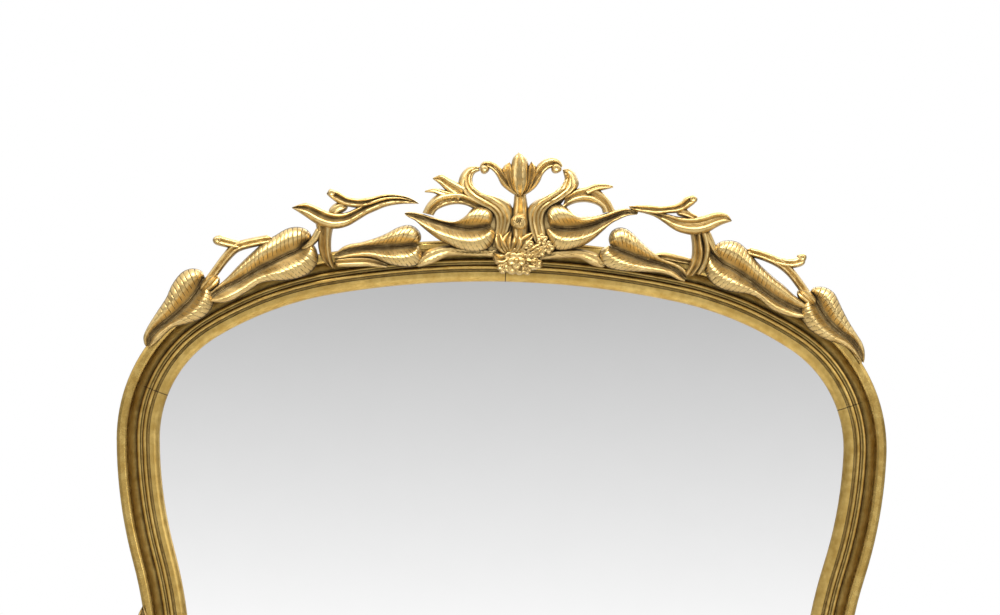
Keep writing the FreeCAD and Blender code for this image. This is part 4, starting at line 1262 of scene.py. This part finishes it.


# %% [markdown]
# ## Aged gilding
#
# Gold leaf is thinner than paint and lies on a coloured clay called bole.  After a century the
# high places are rubbed bright, a warm clay shows at thin edges, and dark wax and dust sit in the
# hollows.  The same dark colour also paints the shade that falls in the hollows and cuts.  So one
# value, the relief, drives everything: 0 in a deep cut and 1 on a crest.

# %% The gilding group
GOLD_LIGHT = paint(236, 210, 150)
GOLD_DEEP = paint(192, 160, 98)
BOLE = paint(132, 80, 32)
# Dark wax in the hollows, and the painted shade that falls there.
WAX_AND_SHADE = paint(40, 21, 5)
gilding, given, result, add = new_group(
    "aged gilding",
    {
        "Where": ("Vector", None),
        "Relief": ("Float", 0.5),
        "Light": ("Color", GOLD_LIGHT),
        "Deep": ("Color", GOLD_DEEP),
        "Rubbed": ("Float", 0.3),
        "Roughness": ("Float", 0.34),
    },
    {"Color": "Color", "Metallic": "Float", "Roughness": "Float", "Height": "Float"},
)
clouds = noise(add, given["Where"], 9.0, 4.0)
mottle = noise(add, given["Where"], 55.0, 5.0, 0.65)
fine = noise(add, given["Where"], 420.0, 3.0, 0.6)
tint = spread(add, reckon(add, "MULTIPLY_ADD", mottle, 0.6, 0.2), 0.3, 0.75)
leaf_colour = blend_colours(add, tint, given["Deep"], given["Light"])
leaf_colour = blend_colours(add, spread(add, clouds, 0.35, 0.7, 0.0, 0.35), leaf_colour, given["Deep"])
rub_edge = reckon(add, "MULTIPLY_ADD", given["Rubbed"], -0.34, 0.82)
rub_noise = noise(add, given["Where"], 130.0, 4.0, 0.7)
rub_range = {"Value": rub_noise, "From Min": rub_edge, "From Max": 0.86}
rubbed = add("MapRange", rub_range).outputs["Result"]
leaf_colour = blend_colours(add, rubbed, leaf_colour, BOLE)
patchy_relief = reckon(add, "MULTIPLY_ADD", mottle, 0.3, -0.15)
# Wax and painted shade: the lower the relief, the more of the dark wax colour, which also stands for
# the shade in hollows and cuts.
wax_and_shade = spread(add, reckon(add, "ADD", given["Relief"], patchy_relief), 0.60, 0.10)
dull = reckon(add, "MAXIMUM", wax_and_shade, rubbed)
burnish = spread(add, given["Relief"], 0.5, 1.0, 0.05, -0.06)
worn_rough = reckon(add, "ADD", given["Roughness"], burnish)
patchy_rough = reckon(add, "ADD", worn_rough, reckon(add, "MULTIPLY_ADD", mottle, 0.18, -0.09))
bumps = weighed_sum(add, mottle, 0.8, fine, 0.25)
set_inputs(
    result,
    {
        "Color": blend_colours(add, times(add, wax_and_shade, 0.92), leaf_colour, WAX_AND_SHADE),
        "Metallic": spread(add, dull, 0.0, 1.0, 0.97, 0.12, smooth=False),
        "Roughness": reckon(add, "ADD", patchy_rough, times(add, dull, 0.28)),
        "Height": reckon(add, "SUBTRACT", bumps, times(add, rubbed, 0.3)),
    },
)
count_nodes("aged gilding", gilding)

# %% [markdown]
# ## Old wood
#
# The back of a gilded frame is bare: sawn pine that has gone brown, with rings drawn out along
# the board, knots, stains and the dust of a wall.  The grain group stretches noise along the
# board, which is how a plain-sawn face looks, and is cheaper than cutting a modelled tree.

# %% The wood group
STAIN = paint(70, 46, 26)
RING_STRETCH = (1.1, 16.0, 16.0)
FIBRE_STRETCH = (6.0, 260.0, 260.0)
wood, given, result, add = new_group(
    "old wood",
    {
        "Where": ("Vector", None),
        "Light": ("Color", paint(186, 146, 92)),
        "Dark": ("Color", paint(112, 74, 38)),
        "Stain": ("Float", 0.5),
    },
    {"Color": "Color", "Roughness": "Float", "Height": "Float"},
)
drawn = stretched(add, given["Where"], RING_STRETCH)
bend = noise(add, drawn, 1.2, 2.0)
sideways = add("CombineXYZ", {"X": 0.0, "Y": bend, "Z": bend}).outputs[0]
bent = add("VectorMath", {0: drawn, 1: sideways}).outputs[0]
ring_look = {"Vector": bent, "Scale": 1.6, "Distortion": 7.0, "Detail": 3.0}
rings = add("TexWave", ring_look, bands_direction="Z").outputs["Fac"]
fibre = noise(add, stretched(add, given["Where"], FIBRE_STRETCH), 3.0, 4.0)
soil = noise(add, given["Where"], 5.0, 5.0, 0.6)
band = weighed_sum(add, rings, 0.65, fibre, 0.35)
colour = blend_colours(add, spread(add, band, 0.2, 0.85), given["Light"], given["Dark"])
stained = times(add, spread(add, soil, 0.42, 0.72), given["Stain"])
set_inputs(
    result,
    {
        "Color": blend_colours(add, stained, colour, STAIN),
        "Roughness": spread(add, fibre, 0.2, 0.8, 0.62, 0.86),
        "Height": weighed_sum(add, fibre, 0.6, rings, 0.3),
    },
)
count_nodes("old wood", wood)

# %% [markdown]
# ## Tarnish
#
# Steel screws and brass rings share one story: a clean metal, darker spots where it has
# oxidised, fine scratches, and a duller face there.

# %% The tarnish group
SCRATCH_STRETCH = (30.0, 30.0, 900.0)
tarnish, given, result, add = new_group(
    "tarnish",
    {
        "Where": ("Vector", None),
        "Clean": ("Color", paint(200, 165, 90)),
        "Dull": ("Color", paint(92, 66, 30)),
        "Amount": ("Float", 0.5),
    },
    {"Color": "Color", "Roughness": "Float", "Height": "Float"},
)
spots = noise(add, given["Where"], 160.0, 5.0, 0.65)
scratch = noise(add, stretched(add, given["Where"], SCRATCH_STRETCH), 1.5)
cover = times(add, spread(add, spots, 0.38, 0.62), given["Amount"])
grainy = reckon(add, "MULTIPLY_ADD", scratch, 0.16, 0.22)
set_inputs(
    result,
    {
        "Color": blend_colours(add, cover, given["Clean"], given["Dull"]),
        "Roughness": reckon(add, "ADD", grainy, times(add, cover, 0.3)),
        "Height": reckon(add, "SUBTRACT", scratch, times(add, cover, 0.5)),
    },
)
count_nodes("tarnish", tarnish)

# %% [markdown]
# ## The moulding's finish
#
# The moulding keeps its exact section, so its finish works out the relief itself.  Places that
# little light reaches, such as the deep cove and the quirks, count as hollows, and the gilding
# paints shade into them as dark wax; the ridges that stand far from the wall get a little less.
# Faces that look outward get painted shade as well, and are almost black.  The back is bare wood.


# %% Where a point lies, and where it is bare wood
def where_and_facing(add):
    """The place in metres, the same as separate numbers, and the surface direction."""
    place = add("TexCoord").outputs["Object"]
    parts = add("SeparateXYZ", {0: place}).outputs
    facing = add("SeparateXYZ", {0: add("NewGeometry").outputs["Normal"]}).outputs
    return place, parts, facing


def shelter(add, distance):
    """Ambient occlusion: near 1 in the open, and near 0 in a hollow."""
    return add("AmbientOcclusion", {"Distance": distance}, samples=6).outputs["AO"]


def gilt_over_wood(add, shader, facing, gilt, bare, bump_depth):
    """Gilding in front, and bare wood on the faces that look back to the wall."""
    is_back = spread(add, facing["Y"], 0.3, 0.6)
    set_inputs(
        shader,
        {
            "Base Color": blend_colours(add, is_back, gilt["Color"], bare["Color"]),
            "Metallic": times(add, gilt["Metallic"], reckon(add, "SUBTRACT", 1.0, is_back)),
            "Roughness": blend_values(add, is_back, gilt["Roughness"], bare["Roughness"]),
            "Normal": bump(add, gilt["Height"], 0.35, bump_depth),
        },
    )


# %% Cracks at the joints
SHOULDER_JOINT = at_heading(HAUNCH, 70)
OPEN_JOINTS = [(RIGHT, 0.0), (LEFT, SHOULDER_JOINT), (RIGHT, SHOULDER_JOINT)]


def joint_cracks(add, parts):
    """A hairline where two lengths of moulding meet: 1 in the crack, 0 elsewhere."""
    total = 0.0
    for side, distance in OPEN_JOINTS:
        origin, outward, onward = (way.tolist() for way in station(side, distance))
        offset_x = reckon(add, "SUBTRACT", parts["X"], origin[0])
        offset_z = reckon(add, "SUBTRACT", parts["Z"], origin[1])
        along = weighed_sum(add, offset_x, onward[0], offset_z, onward[1])
        out = weighed_sum(add, offset_x, outward[0], offset_z, outward[1])
        thin = spread(add, reckon(add, "ABSOLUTE", along), 0.0011, 0.0004)
        near = spread(add, reckon(add, "ABSOLUTE", out), 0.060, 0.020)
        total = reckon(add, "MAXIMUM", total, times(add, thin, near))
    return total


print("the shoulder joints lie %.3f m from the crown" % SHOULDER_JOINT)

# %% Gilded moulding
MOULDING_LIGHT = paint(228, 198, 122)
MOULDING_DEEP = paint(178, 142, 70)
FRAME_MIDDLE = 0.72  # metres above the floor
QUARTER_TURN = (0, math.radians(90), 0)
gilt_moulding, add, shader = new_finish("gilded moulding")
place, parts, facing = where_and_facing(add)
forward = times(add, parts["Y"], -1.0)
# Painted shade: ambient occlusion darkens the cove and the quirks through the gilding's wax, and ridges
# far from the wall get less of it.
hollow = spread(add, shelter(add, 0.016), 0.30, 0.78, 0.16, 0.68)
relief = reckon(add, "ADD", hollow, spread(add, forward, 0.036, 0.060, 0.0, 0.3))
above_middle = reckon(add, "SUBTRACT", parts["Z"], FRAME_MIDDLE)
away = weighed_sum(add, parts["X"], facing["X"], above_middle, facing["Z"])
# Painted shade: faces that look outward go almost black.
outward_painted_shade = times(add, spread(add, away, 0.22, 0.46), spread(add, facing["Y"], -0.75, -0.35))
relief = reckon(add, "SUBTRACT", relief, times(add, outward_painted_shade, 0.6))
relief = reckon(add, "SUBTRACT", relief, joint_cracks(add, parts))
near_glass = spread(add, forward, 0.031, 0.025)
rubbed = reckon(add, "MULTIPLY_ADD", near_glass, 0.55, 0.30)
gilt = use(
    add, gilding, Where=place, Relief=relief, Light=MOULDING_LIGHT, Deep=MOULDING_DEEP,
    Rubbed=rubbed, Roughness=0.32,
)
along_frame = add("Mapping", {"Vector": place, "Rotation": QUARTER_TURN}).outputs[0]
bare = use(add, wood, Where=along_frame, Light=paint(168, 136, 96), Dark=paint(116, 86, 54), Stain=0.7)
gilt_over_wood(add, shader, facing, gilt, bare, 0.0012)
count_nodes("gilded moulding", gilt_moulding.node_tree)

# %% Gilded carving
gilt_carving, add, shader = new_finish("gilded carving")
place, parts, facing = where_and_facing(add)
carved = add("Attribute", attribute_name="relief", attribute_type="GEOMETRY").outputs["Fac"]
# Painted shade: the relief read from each carving, lower again where ambient occlusion finds a hollow,
# darkens it with wax.
relief = times(add, carved, spread(add, shelter(add, 0.022), 0.15, 0.85, 0.25, 1.0))
gilt = use(add, gilding, Where=place, Relief=relief, Rubbed=0.25, Roughness=0.36)
bare = use(add, wood, Where=place, Light=paint(150, 104, 58), Dark=paint(84, 52, 26), Stain=0.8)
gilt_over_wood(add, shader, facing, gilt, bare, 0.001)
for piece in CARVINGS:
    piece.data.materials.append(gilt_carving)
count_nodes("gilded carving", gilt_carving.node_tree)
print(len(CARVINGS), "carved pieces are gilded")

# %% [markdown]
# ## The glass
#
# A mirror is a sheet of glass with silver on its back.  The glass itself is hard to see, so one
# surface that reflects almost everything stands for both.  Its back and edges carry the brown
# paint that protects the silver.

# %% Mirror glass
SILVER = paint(249, 249, 249)
HAZY_SILVER = paint(248, 248, 248)
BACKING_LIGHT = paint(88, 56, 40)
BACKING_DARK = paint(66, 44, 34)
mirror_glass, add, shader = new_finish("mirror glass")
place, parts, facing = where_and_facing(add)
is_front = spread(add, facing["Y"], -0.6, -0.9)
haze = spread(add, noise(add, place, 14.0, 4.0), 0.3, 0.8)
silver = blend_colours(add, haze, SILVER, HAZY_SILVER)
backing = blend_colours(add, noise(add, place, 30.0, 4.0), BACKING_LIGHT, BACKING_DARK)
smear = spread(add, noise(add, place, 5.0, 5.0, 0.6), 0.5, 0.8, 0.0, 0.02)
set_inputs(
    shader,
    {
        "Base Color": blend_colours(add, is_front, backing, silver),
        "Metallic": is_front,
        "Roughness": blend_values(add, is_front, 0.7, smear),
    },
)
count_nodes("mirror glass", mirror_glass.node_tree)

# %% [markdown]
# ## Boards, blocks and hardware
#
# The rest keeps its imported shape: five pine boards, glazing blocks, beech tongues in the joints,
# steel screws, brass pins, straps and rings.

# %% Wooden pieces
GRAIN_TURNS = {"x": (0, 0, 0), "z": QUARTER_TURN}


def wooden(name, light, dark, stain, along, shift=0.0):
    """A wood finish whose grain runs along the given axis.  The shift picks another plank."""
    material, add, shader = new_finish(name)
    place = add("TexCoord").outputs["Object"]
    cut_from = {"Vector": place, "Rotation": GRAIN_TURNS[along], "Location": (shift, 0.0, shift * 0.7)}
    place = add("Mapping", cut_from).outputs[0]
    grain = use(add, wood, Where=place, Light=light, Dark=dark, Stain=stain)
    relief = bump(add, grain["Height"], 0.5, 0.0006)
    look = {"Base Color": grain["Color"], "Roughness": grain["Roughness"], "Normal": relief}
    set_inputs(shader, look)
    count_nodes(name, material.node_tree)
    return material


PLANK_TONES = {
    "bottom": (182, 142, 90),
    "lower": (170, 128, 80),
    "middle": (188, 150, 100),
    "upper": (166, 126, 78),
    "top": (180, 138, 86),
}
planks = {}
for number, (end, (red, green, blue)) in enumerate(PLANK_TONES.items()):
    dark = paint(red * 0.66, green * 0.60, blue * 0.52)
    planks[end] = wooden("pine board, " + end, paint(red, green, blue), dark, 0.5, "x", 1.7 * number)
pine_block = wooden("pine blocks", paint(196, 158, 104), paint(140, 98, 56), 0.3, "z")
beech_tongue = wooden("beech tongues", paint(190, 148, 108), paint(150, 108, 72), 0.2, "z")


# %% Metal pieces
def metal_finish(name, clean, dull, amount):
    material, add, shader = new_finish(name)
    place = add("TexCoord").outputs["Object"]
    tone = use(add, tarnish, Where=place, Clean=clean, Dull=dull, Amount=amount)
    relief = bump(add, tone["Height"], 0.3, 0.0003)
    look = {"Base Color": tone["Color"], "Roughness": tone["Roughness"], "Normal": relief}
    set_inputs(shader, {"Metallic": 1.0, **look})
    count_nodes(name, material.node_tree)
    return material


steel_screw = metal_finish("steel screws", paint(150, 148, 144), paint(70, 52, 40), 0.7)
brass_pin = metal_finish("brass pins", paint(206, 170, 96), paint(110, 80, 40), 0.5)
brass_hanger = metal_finish("brass hangers", paint(198, 160, 86), paint(84, 62, 32), 0.65)

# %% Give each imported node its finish
FINISHES = {
    "arch": gilt_moulding,
    "stile": gilt_moulding,
    "base_corner": gilt_moulding,
    "bottom_rail": gilt_moulding,
    "mirror_plate": mirror_glass,
    "back_board_screws": steel_screw,
    "hanger_screws": steel_screw,
    "glazing_blocks": pine_block,
    "joint_tongues": beech_tongue,
    "ornament_pins": brass_pin,
    "hanger_strap": brass_hanger,
    "hanger_ring": brass_hanger,
}
for end, plank in planks.items():
    FINISHES["back_board_" + end] = plank
for name, node in NODES.items():
    fitting = [finish for start, finish in FINISHES.items() if name.startswith(start)]
    node.data.materials.clear()
    node.data.materials.append(fitting[0] if fitting else gilt_carving)
print(len(NODES), "packed nodes have a finish")

# %% [markdown]
# ## Light, floor and what the mirror sees
#
# A mirror shows the room.  In the photograph the glass is grey near its top and almost white
# lower down, which is a pale floor running up to a greyer wall behind the camera.  The world
# gives that gradient to glossy rays, plain white to the camera, and soft light to everything
# else.  The gold takes its contrast from a brighter ceiling, and from darker sides and a darker
# floor.

# %% World
WHITE = (1, 1, 1, 1)
world = bpy.data.worlds.new("studio")
world.use_nodes = True
world.node_tree.nodes.clear()
add = adder(world.node_tree)
rays = add("LightPath").outputs
gaze = add("SeparateXYZ", {0: add("TexCoord").outputs["Generated"]}).outputs
gradient = spread(add, gaze["Z"], 0.006, -0.076, 0.53, 1.02, smooth=False)
below = spread(add, gaze["Z"], -0.12, -0.45, 1.0, 0.60)
above = spread(add, gaze["Z"], 0.08, 0.50)
aside = spread(add, reckon(add, "ABSOLUTE", gaze["X"]), 0.12, 0.45, 1.0, 0.58)
room = reckon(add, "ADD", times(add, times(add, gradient, below), aside), above)
mirrored = add("Background", {"Color": WHITE, "Strength": room})
plain = add("Background", {"Color": WHITE, "Strength": 1.0})
ambient = add("Background", {"Color": (0.98, 0.99, 1, 1), "Strength": 0.55})
soft = add("MixShader", {0: rays["Is Glossy Ray"], 1: ambient.outputs[0], 2: mirrored.outputs[0]})
seen = add("MixShader", {0: rays["Is Camera Ray"], 1: soft.outputs[0], 2: plain.outputs[0]})
add("OutputWorld", {"Surface": seen.outputs[0]})
bpy.context.scene.world = world
count_nodes("studio", world.node_tree)


# %% Lamps
def lamp(name, place, aim, size, power):
    """A soft rectangular lamp that points at a place."""
    data = bpy.data.lights.new(name, "AREA")
    data.shape = "RECTANGLE"
    data.size, data.size_y = size
    data.energy = power
    lamp_object = bpy.data.objects.new(name, data)
    lamp_object.location = place
    way = np.array(aim) - np.array(place)
    tip = math.atan2(math.hypot(way[0], way[1]), -way[2])
    lamp_object.rotation_euler = (tip, 0, math.atan2(way[1], way[0]) - math.pi / 2)
    bpy.context.scene.collection.objects.link(lamp_object)
    print("%s: %d W" % (name, power))


lamp("key lamp", (-1.3, -2.6, 3.7), (0, 0, 1.2), (2.2, 1.4), 62)
lamp("top lamp", (0.2, -0.9, 3.6), (0, 0, 1.3), (2.6, 1.0), 60)
lamp("fill lamp", (2.4, -3.0, 2.0), (0, 0, 0.9), (1.6, 1.6), 20)
lamp("back lamp", (0.6, 3.2, 2.8), (0, 0, 0.9), (2.4, 1.6), 46)

# %% Floor
FLOOR_RADIUS = 2.6
FLOOR_SIDES = 96
floor_mesh = bpy.data.meshes.new("floor")
turns = np.linspace(0, 2 * math.pi, FLOOR_SIDES, endpoint=False)
ring = [(FLOOR_RADIUS * math.cos(a), FLOOR_RADIUS * math.sin(a), 0.0) for a in turns]
floor_mesh.from_pydata(ring, [], [tuple(range(FLOOR_SIDES))])
floor = bpy.data.objects.new("floor", floor_mesh)
bpy.context.scene.collection.objects.link(floor)
floor_finish, add, shader = new_finish("pale floor")
set_inputs(shader, {"Base Color": paint(236, 235, 232), "Roughness": 0.75})
parts = add("SeparateXYZ", {0: add("TexCoord").outputs["Object"]}).outputs
square = weighed_sum(add, parts["X"], parts["X"], parts["Y"], parts["Y"])
rim = spread(add, reckon(add, "SQRT", square), 1.1, 2.5)
fade = times(add, rim, add("LightPath").outputs["Is Camera Ray"])
white = add("Emission", {"Color": WHITE, "Strength": 1.0})
whole = add("MixShader", {0: fade, 1: shader.outputs[0], 2: white.outputs[0]})
output = [node for node in floor_finish.node_tree.nodes if node.type == "OUTPUT_MATERIAL"][0]
set_inputs(output, {"Surface": whole.outputs[0]})
floor_mesh.materials.append(floor_finish)
count_nodes("pale floor", floor_finish.node_tree)
